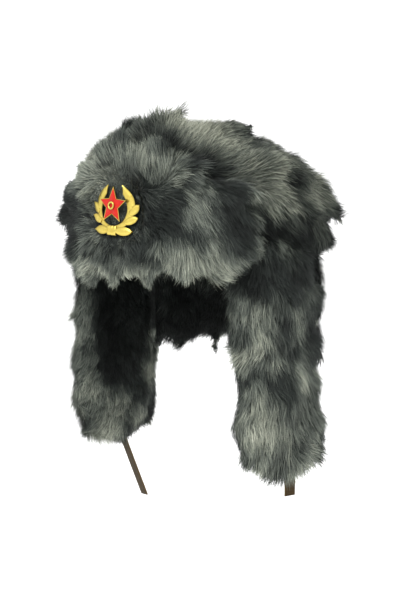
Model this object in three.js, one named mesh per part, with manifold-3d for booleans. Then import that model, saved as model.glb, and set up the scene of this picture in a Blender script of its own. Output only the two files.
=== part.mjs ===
// Fur-fabric ushanka with its ear flaps hanging down, in millimetres, +Z up.
// The origin is the centre of the head opening, in the plane of the rim. The hat's front
// faces -Y and the wearer's left is +X. A turn is an angle round the hat, in degrees, from
// the front towards the wearer's left.
import * as THREE from 'three';
import { mergeVertices } from 'three/addons/utils/BufferGeometryUtils.js';
import Module from 'manifold-3d';

const wasm = await Module();
wasm.setup();

// Gap between pieces that lie on each other
const GAP = 0.3;

// Head opening and the wall round it
const HEAD = { halfWidth: 81, halfLength: 98, depth: 104, squareness: 0.74 };
const LINING = { wall: 3, sides: 24, rows: 5, topUp: 84 };

// Crown's fur coat, out to the skin that its locks grow from
const CROWN = { halfWidth: 113, front: 107, back: 129, top: 134, widestZ: 56, lip: 10 };
const CROWN_SKIN = { sides: 24, rows: 6, topUp: 82, lipRows: 2, lift: 8, footInset: 9 };
const CROWN_SQUARENESS = { front: 0.6, back: 1 };
const CROWN_SLOPE = { fromY: -35, fall: 0.29 };

// Lower edge of the crown, where it tucks in over the flaps at the furrow
const FURROW = [
  { turn: 0, z: 0, tuck: 0.97 },
  { turn: 36, z: 0, tuck: 0.9 },
  { turn: 50, z: 56, tuck: 0.9 },
  { turn: 62, z: 48, tuck: 0.92 },
  { turn: 76, z: 36, tuck: 0.93 },
  { turn: 90, z: 26, tuck: 0.93 },
  { turn: 130, z: 6, tuck: 0.93 },
  { turn: 180, z: 0, tuck: 0.93 },
];

// Front flap: its sections from one end over the brow to the other
const FRONT_FLAP = [
  { turn: -64, low: 18, high: 46, thick: 4 },
  { turn: -58, low: 0, high: 50, thick: 9 },
  { turn: -45, low: -5, high: 61, thick: 13 },
  { turn: -30, low: -5, high: 81, thick: 14 },
  { turn: -12, low: -1, high: 101, thick: 19 },
  { turn: 0, low: 2, high: 113, thick: 19 },
  { turn: 12, low: 2, high: 112, thick: 22 },
  { turn: 22, low: 5, high: 109, thick: 25 },
  { turn: 28, low: 12, high: 106, thick: 26 },
  { turn: 36, low: 12, high: 100, thick: 25 },
  { turn: 42, low: 4, high: 94, thick: 24 },
  { turn: 52, low: 2, high: 82, thick: 20 },
  { turn: 60, low: 10, high: 68, thick: 12 },
  { turn: 65, low: 22, high: 54, thick: 5 },
];
const FRONT_FLAP_SKIN = { step: 10, around: 12, squareness: 0.72, standOff: 0.45 };

// Ear flap: its sections from the furrow (0) down to the bottom edge (1). Its middle line
// bends in by `bend` at the front edge, and by `BACK_BEND` times that at the back edge.
const EAR_FLAP = [
  { down: 0, middleY: -12, half: 52, middleX: 96, thick: 15, bend: 13, square: 0.4 },
  { down: 0.1, middleY: -12, half: 54, middleX: 98, thick: 22, bend: 13, square: 0.4 },
  { down: 0.25, middleY: -13, half: 54, middleX: 97, thick: 25, bend: 13, square: 0.45 },
  { down: 0.42, middleY: -13, half: 57, middleX: 96, thick: 27, bend: 10, square: 0.6 },
  { down: 0.6, middleY: -10, half: 55, middleX: 96, thick: 27, bend: 6, square: 0.7 },
  { down: 0.76, middleY: -8, half: 56, middleX: 96, thick: 28, bend: 4, square: 0.75 },
  { down: 0.88, middleY: -4, half: 50, middleX: 96, thick: 26, bend: 3, square: 0.8 },
  { down: 0.96, middleY: 1, half: 38, middleX: 96, thick: 20, bend: 2, square: 0.85 },
  { down: 1, middleY: 4, half: 21, middleX: 96, thick: 9, bend: 1, square: 0.9 },
];
const EAR_FLAP_SKIN = { around: 14, levels: [0, 0.1, 0.25, 0.42, 0.6, 0.76, 0.88, 0.96, 1] };
const BACK_BEND = 0.45;

// How each ear flap hangs: its bottom edge, how far it stands out and back there, and
// how much thicker it is there
const HANG = {
  left: { side: 1, bottom: -191, out: 0, back: 9, puff: 0, seed: 37 },
  right: { side: -1, bottom: -189, out: 9, back: -2, puff: 5, seed: 31 },
};

// Neck flap, curved round the back between the ear flaps
const NECK_FLAP = { halfWidth: 97, back: 112, thick: 21, bottom: -86, tilt: 9, firstTurn: 106 };
const NECK_SKIN = { sections: 10, around: 12, squareness: 0.6 };

// How far a flap's raw top reaches up into the crown, which is then cut out of it
const TOP_OVERLAP = 9;

// Locks: the tufts that the pile gathers into. Their loops lie at shares of their length.
const LOCK = { sides: 4, sink: 3, flatness: 0.6, swing: 0.7, leastSize: 0.8, spread: 0.4, step: 0.05 };
const LOCK_FORM = { heel: -0.2, foot: -0.15, footSize: 0.9, body: 0.35, bodyRise: 0.6 };
const CROWN_LOCK = { length: 36, radius: 14, rise: 6 };
const FLAP_LOCK = { length: 31, radius: 12, rise: 6 };

// Rows of locks over each skin, by how many stand in a row
const CROWN_ROWS = [
  { up: -0.5, count: 17 },
  { up: 8, count: 17 },
  { up: 30, count: 16 },
  { up: 50, count: 12 },
  { up: 67, count: 7 },
  { up: 80, count: 4 },
];
const CROWN_BARE = { halfTurn: 62, up: 60 };
const FRONT_ROWS = [
  { around: -64, count: 8, share: 0.6 },
  { around: -14, count: 8, share: 1 },
  { around: 32, count: 8, share: 1 },
  { around: 68, count: 7, share: 1 },
];
const FRONT_ROW_TURNS = { first: -56, last: 57 };
const BADGE_CLEAR = 24;
const EAR_ROWS = { downs: [0.22, 0.4, 0.57, 0.73, 0.86], arounds: [0, 45, 90, 135, 180, 270], stagger: 14 };
const NECK_ROWS = { arounds: [20, -30, -80], count: 7, first: 118, last: 242 };

// Flat straps out of the ear flaps' lower ends: their middle line, from inside out, and how
// far each one's face is turned to the front
const TIE = { width: 11.5, thick: 1.5 };
const TIE_ROUTE = {
  left: { faceTurn: 22, line: [[97, 14, -174], [97, 14, -193], [97, 14, -211]] },
  right: { faceTurn: 78, line: [[-103, -6, -174], [-101, -1, -191], [-91, 18, -251]] },
};

// Badge on the brow, drawn in a plane of its own: x to the wearer's left, y up, and z out
// of its face. The wreath is bent back at its sides, like the brow that it lies on.
const BADGE = { x: 4, y: -121, z: 60, leanBack: 6, bend: 0.006 };
const DENT = { halfWidth: 33, halfHeight: 27, endShare: 0.96, sections: 12, depth: 30, clear: 0.45 };
const STAR = { outer: 16.6, innerShare: 0.45, up: 3.8, lift: 1.5, edge: 0.9, ridge: 2.5 };
const WREATH = {
  halfWidth: 22.5, halfHeight: 19, band: 8, thick: 1.2, gapTurn: 18, meetTurn: 182, tip: 1.2, steps: 12,
};
const LEAF = { thick: 0.8, lift: 0.4, stagger: 0.15, footShare: 0.6, seatShare: 0.82, widest: 0.45 };
const LEAVES = [
  { turn: 101, length: 12.5, width: 7, splay: 57 },
  { turn: 132, length: 14, width: 6.6, splay: 64 },
];
const BOW = { down: 17.6, halfWidth: 5.2, halfHeight: 4.2, thick: 2.4, lift: -0.1 };
const BOW_WING = { length: 22.3, height: 7, thick: 1.6, lift: 0.1 };
const BOW_WING_OUTLINE = [
  [0, -0.5], [0.4, -0.55], [0.8, -0.45], [1, 0], [0.8, 0.4], [0.4, 0.55], [0, 0.4],
];
const BOSS = { outer: 3.6, inner: 2, thick: 1.1, sides: 12 };
const PIN = { radius: 1.2, length: 13, sides: 10 };

const rad = THREE.MathUtils.degToRad;
const lerp = THREE.MathUtils.lerp;
const v3 = (x, y, z) => new THREE.Vector3(x, y, z);
const run = (count, make) => Array.from({ length: count }, (_, i) => make(i));

// A fixed run of numbers from 0 to 1, so that every build gives the same locks
function randomFrom(seed) {
  let state = seed;
  return () => {
    state = (state * 16807) % 2147483647;
    return state / 2147483647;
  };
}

// Reads a table's columns at a place between its rows
function read(table, key, at) {
  const last = table[table.length - 1];
  if (at <= table[0][key]) return table[0];
  if (at >= last[key]) return last;
  const i = table.findIndex((row) => row[key] > at) - 1;
  const t = (at - table[i][key]) / (table[i + 1][key] - table[i][key]);
  const row = {};
  for (const name of Object.keys(last)) row[name] = lerp(table[i][name], table[i + 1][name], t);
  return row;
}

// Rounded-square sine or cosine: a squareness of 1 is a circle, and less is boxier
function soften(value, squareness) {
  return Math.sign(value) * Math.abs(value) ** squareness;
}

// Point on an egg-shaped ring round the hat
function ring(halfWidth, front, back, turn) {
  const y = -Math.cos(rad(turn));
  return v3(halfWidth * Math.sin(rad(turn)), y * (y < 0 ? front : back), 0);
}

// Level direction that points straight out of that ring
function ringNormal(halfWidth, front, back, turn) {
  const p = ring(halfWidth, front, back, turn);
  const half = p.y < 0 ? front : back;
  return v3(p.x / halfWidth ** 2, p.y / half ** 2, 0).normalize();
}

function furrow(turn) {
  const round = ((turn % 360) + 360) % 360;
  return read(FURROW, 'turn', Math.min(round, 360 - round));
}

// Closed skin through rings with the same number of points. Each end closes on a point.
function loft(rings, firstPoint, lastPoint) {
  const n = rings[0].length;
  const points = rings.flat();
  const faces = [];
  for (let r = 0; r + 1 < rings.length; r++) {
    for (let i = 0; i < n; i++) {
      const a = r * n + i;
      const b = r * n + ((i + 1) % n);
      faces.push(a, b, b + n, a, b + n, a + n);
    }
  }
  const centre = (loop) => loop.reduce((sum, p) => sum.addScaledVector(p, 1 / n), v3(0, 0, 0));
  const first = points.push(firstPoint ?? centre(rings[0])) - 1;
  const last = points.push(lastPoint ?? centre(rings[rings.length - 1])) - 1;
  const lastRow = (rings.length - 1) * n;
  for (let i = 0; i < n; i++) {
    const next = (i + 1) % n;
    faces.push(first, next, i);
    faces.push(last, lastRow + i, lastRow + next);
  }
  return facedOut(points, faces);
}

// Geometry of a closed skin, turned so that its faces point out
function facedOut(points, faces) {
  let volume = 0;
  for (let i = 0; i < faces.length; i += 3) {
    const [a, b, c] = [points[faces[i]], points[faces[i + 1]], points[faces[i + 2]]];
    volume += a.dot(b.clone().cross(c));
  }
  const index = volume < 0 ? [...faces].reverse() : faces;
  const geometry = new THREE.BufferGeometry();
  const numbers = points.flatMap((p) => p.toArray());
  geometry.setAttribute('position', new THREE.Float32BufferAttribute(numbers, 3));
  geometry.setIndex(index);
  return geometry;
}

// A three.js geometry as a solid that can be joined and cut
function toSolid(geometry) {
  const bare = geometry.clone();
  bare.deleteAttribute('normal');
  bare.deleteAttribute('uv');
  const merged = mergeVertices(bare, 1e-4);
  return new wasm.Manifold(new wasm.Mesh({
    numProp: 3,
    vertProperties: new Float32Array(merged.getAttribute('position').array),
    triVerts: new Uint32Array(merged.getIndex().array),
  }));
}

function fromSolid(solid) {
  const mesh = solid.getMesh();
  const geometry = new THREE.BufferGeometry();
  const position = new THREE.BufferAttribute(new Float32Array(mesh.vertProperties), 3);
  geometry.setAttribute('position', position);
  geometry.setIndex(new THREE.BufferAttribute(new Uint32Array(mesh.triVerts), 1));
  return geometry;
}

// The largest body of a cut solid, without the slivers that the cut leaves loose
function mainBody(solid) {
  const bodies = solid.decompose();
  return bodies.reduce((best, body) => (body.volume() > best.volume() ? body : best));
}

// One lock: a tapering tuft that rises out of the skin and lies over along the pile
function lock(seat, grown) {
  const { at, outward, lie, size } = seat;
  const across = outward.clone().cross(lie).normalize();
  const place = (along, out) => at.clone()
    .addScaledVector(lie, along * size.length)
    .addScaledVector(outward, out);
  const loop = (middle, radius) => run(LOCK.sides, (i) => {
    const turn = (2 * Math.PI * i) / LOCK.sides;
    return middle.clone()
      .addScaledVector(across, radius * Math.cos(turn))
      .addScaledVector(outward, radius * LOCK.flatness * Math.sin(turn));
  });
  const foot = loop(place(LOCK_FORM.foot, -LOCK.sink), size.radius * LOCK_FORM.footSize + grown);
  const thickest = place(LOCK_FORM.body, size.rise * LOCK_FORM.bodyRise);
  const body = loop(thickest, size.radius + grown);
  const tip = thickest.clone().lerp(place(1, size.rise), 1 + (2 * grown) / size.radius);
  return toSolid(loft([foot, body], place(LOCK_FORM.heel, -LOCK.sink), tip));
}

// Joins a skin and its locks into one body
function furPiece(skin, seats, grown) {
  return wasm.Manifold.union([toSolid(skin), ...seats.map((seat) => lock(seat, grown))]);
}

// Seats a lock on a surface of two numbers, where `away` points roughly out of it
function seatOn(surface, u, v, away, flow, size, random) {
  const at = surface(u, v);
  const du = surface(u + LOCK.step, v).sub(at);
  const dv = surface(u, v + LOCK.step).sub(at);
  const outward = du.cross(dv).normalize();
  if (outward.dot(away) < 0) outward.negate();
  const lie = flow(at).projectOnPlane(outward).normalize();
  lie.applyAxisAngle(outward, (random() - 0.5) * LOCK.swing);
  const scale = LOCK.leastSize + LOCK.spread * random();
  const scaled = { length: size.length * scale, radius: size.radius * scale, rise: size.rise };
  return { at, outward, lie, size: scaled };
}

// Point on the head's dome, grown outwards
function headPoint(turn, up, grow) {
  const out = soften(Math.cos(rad(up)), HEAD.squareness);
  const half = HEAD.halfLength + grow;
  const p = ring(HEAD.halfWidth + grow, half, half, turn).multiplyScalar(out);
  return p.setZ((HEAD.depth + grow) * soften(Math.sin(rad(up)), HEAD.squareness));
}

// The lining's room as a solid block, to cut its neighbours clear of it
function makeHeadBlock() {
  const grow = LINING.wall + GAP;
  const turns = run(LINING.sides, (i) => (360 * i) / LINING.sides);
  const ups = run(LINING.rows + 1, (i) => (LINING.topUp * i) / LINING.rows);
  const rows = ups.map((up) => turns.map((turn) => headPoint(turn, up, grow)));
  const below = rows[0].map((p) => p.clone().setZ(-GAP));
  return toSolid(loft([below, ...rows], undefined, v3(0, 0, HEAD.depth + grow)));
}

function makeLining() {
  const turns = run(LINING.sides, (i) => (360 * i) / LINING.sides);
  const ups = run(LINING.rows + 1, (i) => (LINING.topUp * i) / LINING.rows);
  const inner = ups.toReversed().map((up) => turns.map((turn) => headPoint(turn, up, 0)));
  const outer = ups.map((up) => turns.map((turn) => headPoint(turn, up, LINING.wall)));
  const apex = v3(0, 0, HEAD.depth);
  return loft([...inner, ...outer], apex, apex.clone().setZ(HEAD.depth + LINING.wall));
}

// Crown's skin. Above its widest height it is a dome, and below it tucks in to the furrow,
// which `up` reaches at -1.
function crownSquareness(turn) {
  return lerp(CROWN_SQUARENESS.back, CROWN_SQUARENESS.front, (Math.cos(rad(turn)) + 1) / 2);
}

function crownPoint(turn, up, grow = 0) {
  const edge = furrow(turn);
  const widest = Math.max(CROWN.widestZ, edge.z + CROWN.lip);
  const p = ring(CROWN.halfWidth + grow, CROWN.front + grow, CROWN.back + grow, turn);
  if (up < 0) {
    return p.multiplyScalar(lerp(1, edge.tuck, up * up)).setZ(lerp(widest, edge.z - grow, -up));
  }
  const squareness = crownSquareness(turn);
  p.multiplyScalar(soften(Math.cos(rad(up)), squareness));
  const rise = CROWN.top + grow - widest - CROWN_SLOPE.fall * Math.max(p.y - CROWN_SLOPE.fromY, 0);
  return p.setZ(widest + rise * soften(Math.sin(rad(up)), squareness));
}

function makeCrownSkin(grow) {
  const turns = run(CROWN_SKIN.sides, (i) => (360 * i) / CROWN_SKIN.sides);
  const lip = run(CROWN_SKIN.lipRows, (i) => i / CROWN_SKIN.lipRows - 1);
  const dome = run(CROWN_SKIN.rows + 1, (i) => (CROWN_SKIN.topUp * i) / CROWN_SKIN.rows);
  const outer = [...lip, ...dome].map((up) => turns.map((turn) => crownPoint(turn, up, grow)));
  const half = HEAD.halfLength - CROWN_SKIN.footInset;
  const foot = turns.map((turn) => {
    return ring(HEAD.halfWidth - CROWN_SKIN.footInset, half, half, turn)
      .setZ(furrow(turn).z + CROWN_SKIN.lift - grow);
  });
  return loft([foot, ...outer], v3(0, 0, HEAD.depth / 2), v3(0, 0, CROWN.top + grow));
}

// Level place of the crown's front at a height, where the front flap lies on it
function crownFront(turn, z) {
  const edge = furrow(turn);
  const p = ring(CROWN.halfWidth, CROWN.front, CROWN.back, turn);
  if (z < CROWN.widestZ) {
    const below = Math.min((CROWN.widestZ - z) / CROWN.widestZ, 1);
    return p.multiplyScalar(lerp(1, edge.tuck, below * below));
  }
  const power = 2 / crownSquareness(turn);
  const rise = (z - CROWN.widestZ) / (CROWN.top - CROWN.widestZ);
  const dome = (1 - rise ** power) ** (1 / power);
  return p.multiplyScalar(lerp(dome, 1, FRONT_FLAP_SKIN.standOff));
}

// Front flap's skin: `around` is 0 at its outer face, 90 at its top edge
function frontFlapPoint(turn, around, grow = 0) {
  const row = read(FRONT_FLAP, 'turn', turn);
  const squareness = FRONT_FLAP_SKIN.squareness;
  const share = 0.5 + 0.5 * soften(Math.cos(rad(around)), squareness);
  const height = soften(Math.sin(rad(around)), squareness);
  const z = lerp(row.low, row.high, 0.5 + 0.5 * height) + grow * height;
  const normal = ringNormal(CROWN.halfWidth, CROWN.front, CROWN.back, turn);
  const out = GAP + row.thick * share + grow * (2 * share - 1);
  return crownFront(turn, z).setZ(z).addScaledVector(normal, out);
}

function makeFrontFlapSkin(grow) {
  const first = FRONT_FLAP[0].turn - grow;
  const last = FRONT_FLAP[FRONT_FLAP.length - 1].turn + grow;
  const count = Math.round((last - first) / FRONT_FLAP_SKIN.step);
  return loft(run(count + 1, (i) => {
    const turn = lerp(first, last, i / count);
    const around = FRONT_FLAP_SKIN.around;
    return run(around, (k) => frontFlapPoint(turn, (360 * k) / around, grow));
  }));
}

// Ear flap's skin: `around` is 0 at its back edge, 90 at its outer face
function earFlapPoint(hang, down, around, grow = 0) {
  const row = read(EAR_FLAP, 'down', down);
  const s = soften(Math.cos(rad(around)), row.square);
  const y = row.middleY + (row.half + grow) * s + hang.back * down;
  const bend = row.bend * s * s * (s < 0 ? 1 : BACK_BEND);
  const half = 0.5 * (row.thick + hang.puff * down) + grow;
  const out = half * soften(Math.sin(rad(around)), row.square);
  const x = row.middleX + hang.out * Math.sqrt(down) - bend + out;
  const turn = 90 + THREE.MathUtils.radToDeg(Math.asin(y / CROWN.back));
  const top = furrow(turn).z + TOP_OVERLAP;
  return v3(hang.side * x, y, lerp(top, hang.bottom, down));
}

function makeEarFlapSkin(hang, grow) {
  const around = EAR_FLAP_SKIN.around;
  return loft(EAR_FLAP_SKIN.levels.map((down) => {
    return run(around, (k) => earFlapPoint(hang, down, (360 * k) / around, grow));
  }));
}

// Neck flap's skin: `around` is 0 at its outer face, 90 at its top
function neckFlapPoint(turn, around) {
  const { halfWidth, back, thick, tilt } = NECK_FLAP;
  const bottom = NECK_FLAP.bottom + tilt * Math.sin(rad(turn));
  const out = 0.5 * thick * soften(Math.cos(rad(around)), NECK_SKIN.squareness);
  const height = 0.5 + 0.5 * soften(Math.sin(rad(around)), NECK_SKIN.squareness);
  return ring(halfWidth, back, back, turn)
    .addScaledVector(ringNormal(halfWidth, back, back, turn), out)
    .setZ(lerp(bottom, furrow(turn).z + TOP_OVERLAP, height));
}

function makeNeckFlapSkin() {
  const { sections, around } = NECK_SKIN;
  return loft(run(sections + 1, (i) => {
    const turn = lerp(NECK_FLAP.firstTurn, 360 - NECK_FLAP.firstTurn, i / sections);
    return run(around, (k) => neckFlapPoint(turn, (360 * k) / around));
  }));
}

// How the pile lies on each piece, as a direction at a point. It runs out from a whorl on
// the crown and from the badge on the front flap, and it falls and fans out on the others.
const CROWN_WHORL = v3(0, -70, CROWN.top);
const CROWN_FALL = v3(0, 30, -20);
const crownFlow = (at) => at.clone().sub(CROWN_WHORL).add(CROWN_FALL);
const BADGE_MIDDLE = v3(BADGE.x, BADGE.y, BADGE.z);
const FRONT_SPREAD = v3(1, 1, 0.6);
const FRONT_FALL = v3(0, 0, -12);
const frontFlow = (at) => at.clone().sub(BADGE_MIDDLE).multiply(FRONT_SPREAD).add(FRONT_FALL);
const HANG_FLOW = { fan: 0.5, fall: 60 };
const hangFlow = (middleY) => (at) => v3(0, (at.y - middleY) * HANG_FLOW.fan, -HANG_FLOW.fall);

// Seats of the crown's locks, in staggered rows. The front flap covers the low front.
function crownSeats() {
  const random = randomFrom(11);
  const { halfTurn, up: bareUp } = CROWN_BARE;
  return CROWN_ROWS.flatMap(({ up, count }, r) => run(count, (i) => (360 * (i + (r % 2) / 2)) / count)
    .filter((turn) => Math.min(turn, 360 - turn) > halfTurn || up > bareUp)
    .map((turn) => {
      const away = crownPoint(turn, up).sub(v3(0, 0, HEAD.depth / 2));
      return seatOn(crownPoint, turn, up, away, crownFlow, CROWN_LOCK, random);
    }));
}

function frontFlapSeats() {
  const random = randomFrom(23);
  const { first, last } = FRONT_ROW_TURNS;
  return FRONT_ROWS.flatMap(({ around, count, share }, r) => run(count, (i) => {
    const turn = lerp(first, last, (i + (r % 2) / 2) / count);
    const size = { ...FLAP_LOCK, length: FLAP_LOCK.length * share };
    return seatOn(frontFlapPoint, turn, around, ring(1, 1, 1, turn), frontFlow, size, random);
  })).filter((seat) => seat.at.distanceTo(BADGE_MIDDLE) > BADGE_CLEAR);
}

function earFlapSeats(hang) {
  const random = randomFrom(hang.seed);
  const surface = (down, around) => earFlapPoint(hang, down, around);
  const flow = hangFlow(EAR_FLAP[0].middleY);
  return EAR_ROWS.downs.flatMap((down, r) => {
    return EAR_ROWS.arounds.map((place) => {
      const around = place + (r % 2) * EAR_ROWS.stagger;
      const away = v3(hang.side * Math.sin(rad(around)), Math.cos(rad(around)), 0);
      return seatOn(surface, down, around, away, flow, FLAP_LOCK, random);
    });
  }).filter(({ at }) => at.z < NECK_FLAP.bottom || at.x * hang.side > EAR_FLAP[0].middleX);
}

function neckFlapSeats() {
  const random = randomFrom(47);
  const flow = hangFlow(NECK_FLAP.back);
  const { arounds, count, first, last } = NECK_ROWS;
  return arounds.flatMap((around, r) => run(count, (i) => {
    const turn = lerp(first, last, (i + (r % 2) / 2) / (count - 0.5));
    return seatOn(neckFlapPoint, turn, around, ring(1, 1, 1, turn), flow, FLAP_LOCK, random);
  }));
}

// A flat strap along a line
function makeTie({ faceTurn, line }, grown) {
  const points = line.map((p) => v3(...p));
  const face = v3(Math.sign(points[0].x) * Math.cos(rad(faceTurn)), -Math.sin(rad(faceTurn)), 0);
  return loft(points.map((p, i) => {
    const from = points[Math.max(i - 1, 0)];
    const to = points[Math.min(i + 1, points.length - 1)];
    const along = to.clone().sub(from).normalize();
    const wide = along.clone().cross(face).normalize().multiplyScalar(TIE.width / 2 + grown);
    const thick = wide.clone().cross(along).normalize().multiplyScalar(TIE.thick / 2 + grown);
    return [[1, 1], [-1, 1], [-1, -1], [1, -1]].map(([w, t]) => {
      return p.clone().addScaledVector(wide, w).addScaledVector(thick, t);
    });
  }));
}

// Badge
function extruded(outline, thick, from) {
  const shape = new THREE.Shape(outline.map(([x, y]) => new THREE.Vector2(x, y)));
  const geometry = new THREE.ExtrudeGeometry(shape, { depth: thick, bevelEnabled: false });
  return geometry.translate(0, 0, from);
}

function makeStar() {
  const loop = (z) => run(10, (i) => {
    const turn = rad(90 + 36 * i);
    const radius = STAR.outer * (i % 2 ? STAR.innerShare : 1);
    return v3(radius * Math.cos(turn), STAR.up + radius * Math.sin(turn), z);
  });
  const face = v3(0, STAR.up, STAR.lift + STAR.ridge);
  return loft([loop(STAR.lift), loop(STAR.lift + STAR.edge)], undefined, face);
}

function wreathPlace(turn, share) {
  return [
    WREATH.halfWidth * share * Math.sin(rad(turn)),
    WREATH.halfHeight * share * Math.cos(rad(turn)),
  ];
}

// One side of the wreath, whose arm ends in a point beside the star's top
function makeWreathSide(side) {
  const inner = 1 - WREATH.band / WREATH.halfWidth;
  const { gapTurn, meetTurn, tip, steps } = WREATH;
  const turns = run(steps, (i) => side * lerp(gapTurn, meetTurn, i / (steps - 1)));
  const rest = turns.slice(1);
  const arm = [wreathPlace(turns[0], tip), ...rest.map((turn) => wreathPlace(turn, 1)),
    ...rest.toReversed().map((turn) => wreathPlace(turn, inner))];
  const leaves = LEAVES.map((leaf, i) => {
    const half = leaf.width / 2;
    const foot = half * LEAF.footShare;
    const widest = leaf.length * LEAF.widest;
    const outline = [[0, -foot], [widest, -half], [leaf.length, 0], [widest, half], [0, foot]];
    const lie = 90 - leaf.turn + leaf.splay;
    const [x, y] = wreathPlace(side * leaf.turn, LEAF.seatShare);
    return extruded(outline, LEAF.thick, LEAF.lift + LEAF.stagger * i)
      .rotateZ(rad(side > 0 ? lie : 180 - lie))
      .translate(x, y, 0);
  });
  const wing = BOW_WING_OUTLINE.map(([x, y]) => {
    return [side * BOW_WING.length * x, BOW_WING.height * y - BOW.down];
  });
  return [extruded(arm, WREATH.thick, 0), ...leaves, extruded(wing, BOW_WING.thick, BOW_WING.lift)];
}

function makeWreath() {
  const { halfWidth, halfHeight, thick } = BOW;
  const knot = [[-halfWidth, -halfHeight], [halfWidth, -halfHeight], [halfWidth, halfHeight],
    [-halfWidth, halfHeight]].map(([x, y]) => [x, y - BOW.down]);
  const parts = [...makeWreathSide(1), ...makeWreathSide(-1), extruded(knot, thick, BOW.lift)];
  return bentBack(fromSolid(wasm.Manifold.union(parts.map(toSolid))));
}

// The sides of a flat badge piece, bent back round the brow
function bentBack(geometry) {
  const position = geometry.getAttribute('position');
  for (let i = 0; i < position.count; i++) {
    const x = position.getX(i);
    position.setZ(i, position.getZ(i) - BADGE.bend * x * x);
  }
  return geometry;
}

// Plain ring on the star's middle, and the post behind it, both round about z
function makeTurned(profile, sides) {
  const points = [...profile, profile[0]].map(([radius, z]) => new THREE.Vector2(radius, z));
  return new THREE.LatheGeometry(points, sides).rotateX(Math.PI / 2).translate(0, STAR.up, 0);
}

function makeBoss() {
  const fall = (STAR.ridge - STAR.edge) * (BOSS.inner / STAR.outer);
  const low = STAR.lift + STAR.ridge - fall + GAP;
  const high = low + BOSS.thick;
  return makeTurned([[BOSS.inner, low], [BOSS.outer, low], [BOSS.outer, high], [BOSS.inner, high]],
    BOSS.sides);
}

function makePin(grow) {
  const high = STAR.lift - GAP + grow;
  const low = high - PIN.length - 2 * grow;
  const radius = PIN.radius + grow;
  return loft([low, high].map((z) => run(PIN.sides, (i) => {
    const turn = (2 * Math.PI * i) / PIN.sides;
    return v3(radius * Math.cos(turn), STAR.up + radius * Math.sin(turn), z);
  })));
}

// Room that the badge presses into the fur, with a floor that follows the wreath's back
function makeDent() {
  const { halfWidth, halfHeight, sections, depth } = DENT;
  return loft(run(sections + 1, (i) => {
    const x = halfWidth * DENT.endShare * lerp(-1, 1, i / sections);
    const half = halfHeight * Math.sqrt(1 - (x / halfWidth) ** 2);
    const floor = -BADGE.bend * x * x - DENT.clear;
    return [v3(x, -half, floor), v3(x, half, floor), v3(x, half, depth), v3(x, -half, depth)];
  }));
}

// Stands a piece of the badge upright on the brow, leaning back with the fur
function onBrow(geometry) {
  return geometry.rotateX(Math.PI / 2 - rad(BADGE.leanBack)).translate(BADGE.x, BADGE.y, BADGE.z);
}

const group = new THREE.Group();
const FUR = { color: 0x6a6f66, roughness: 1, metalness: 0 };
const PILE = { color: 0x1b1b1c, roughness: 1, metalness: 0 };
const STRAP = { color: 0x7d735c, roughness: 0.8, metalness: 0 };
const GILT = { color: 0xd9c36a, roughness: 0.35, metalness: 1 };
const ENAMEL = { color: 0xd4452a, roughness: 0.2, metalness: 0 };

function addNode(name, geometry, look) {
  const mesh = new THREE.Mesh(geometry, new THREE.MeshStandardMaterial(look));
  mesh.name = name;
  group.add(mesh);
}

// Each neighbour is cut by the pieces that lie over it, grown by the gap
const rawFront = (grow) => furPiece(makeFrontFlapSkin(grow), frontFlapSeats(), grow);
const rawCrown = (grow) => furPiece(makeCrownSkin(grow), crownSeats(), grow);
const rawEar = (hang, grow) => furPiece(makeEarFlapSkin(hang, grow), earFlapSeats(hang), grow);
const rawNeck = furPiece(makeNeckFlapSkin(), neckFlapSeats(), 0);
const without = (solid, over) => over.reduce((rest, one) => rest.subtract(one), solid);
const cut = (solid, ...over) => fromSolid(mainBody(without(solid, over)));
const overFront = rawFront(GAP);
const overCrown = rawCrown(GAP);
const overEars = Object.values(HANG).map((hang) => rawEar(hang, GAP));
const headBlock = makeHeadBlock();
const badgeRoom = [makeDent(), makePin(GAP)].map((piece) => toSolid(onBrow(piece)));

addNode('lining', makeLining(), PILE);
addNode('crown', cut(rawCrown(0), headBlock, overFront), FUR);
addNode('front_flap', cut(rawFront(0), ...badgeRoom), FUR);
for (const [name, hang] of Object.entries(HANG)) {
  const strap = toSolid(makeTie(TIE_ROUTE[name], GAP));
  addNode(`ear_flap_${name}`, cut(rawEar(hang, 0), headBlock, overCrown, overFront, strap), FUR);
  addNode(`tie_${name}`, makeTie(TIE_ROUTE[name], 0), STRAP);
}
addNode('neck_flap', cut(rawNeck, headBlock, overCrown, ...overEars), FUR);
addNode('badge_wreath', onBrow(makeWreath()), GILT);
addNode('badge_star', onBrow(makeStar()), ENAMEL);
addNode('badge_boss', onBrow(makeBoss()), GILT);
addNode('badge_pin', onBrow(makePin(0)), GILT);

export default group;
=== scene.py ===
"""An ushanka in long dyed plush, with black plush inside, leather ties and a gilt badge.

Everything is in metres, +Z up, in the frame of the solids. The hat's front faces -Y and the
wearer's left is +X. Sizes given in millimetres pass through mm().
"""

import logging
import math
from collections.abc import Callable, Iterable, Iterator, Sequence
from contextlib import contextmanager
from dataclasses import dataclass, field
from enum import Enum

import bmesh
import bpy
import numpy as np
from bpy.types import Material, Node, NodeOutputs, NodeSocket, NodeTree, Object
from mathutils import Matrix, Vector, noise
from mathutils.bvhtree import BVHTree


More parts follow.
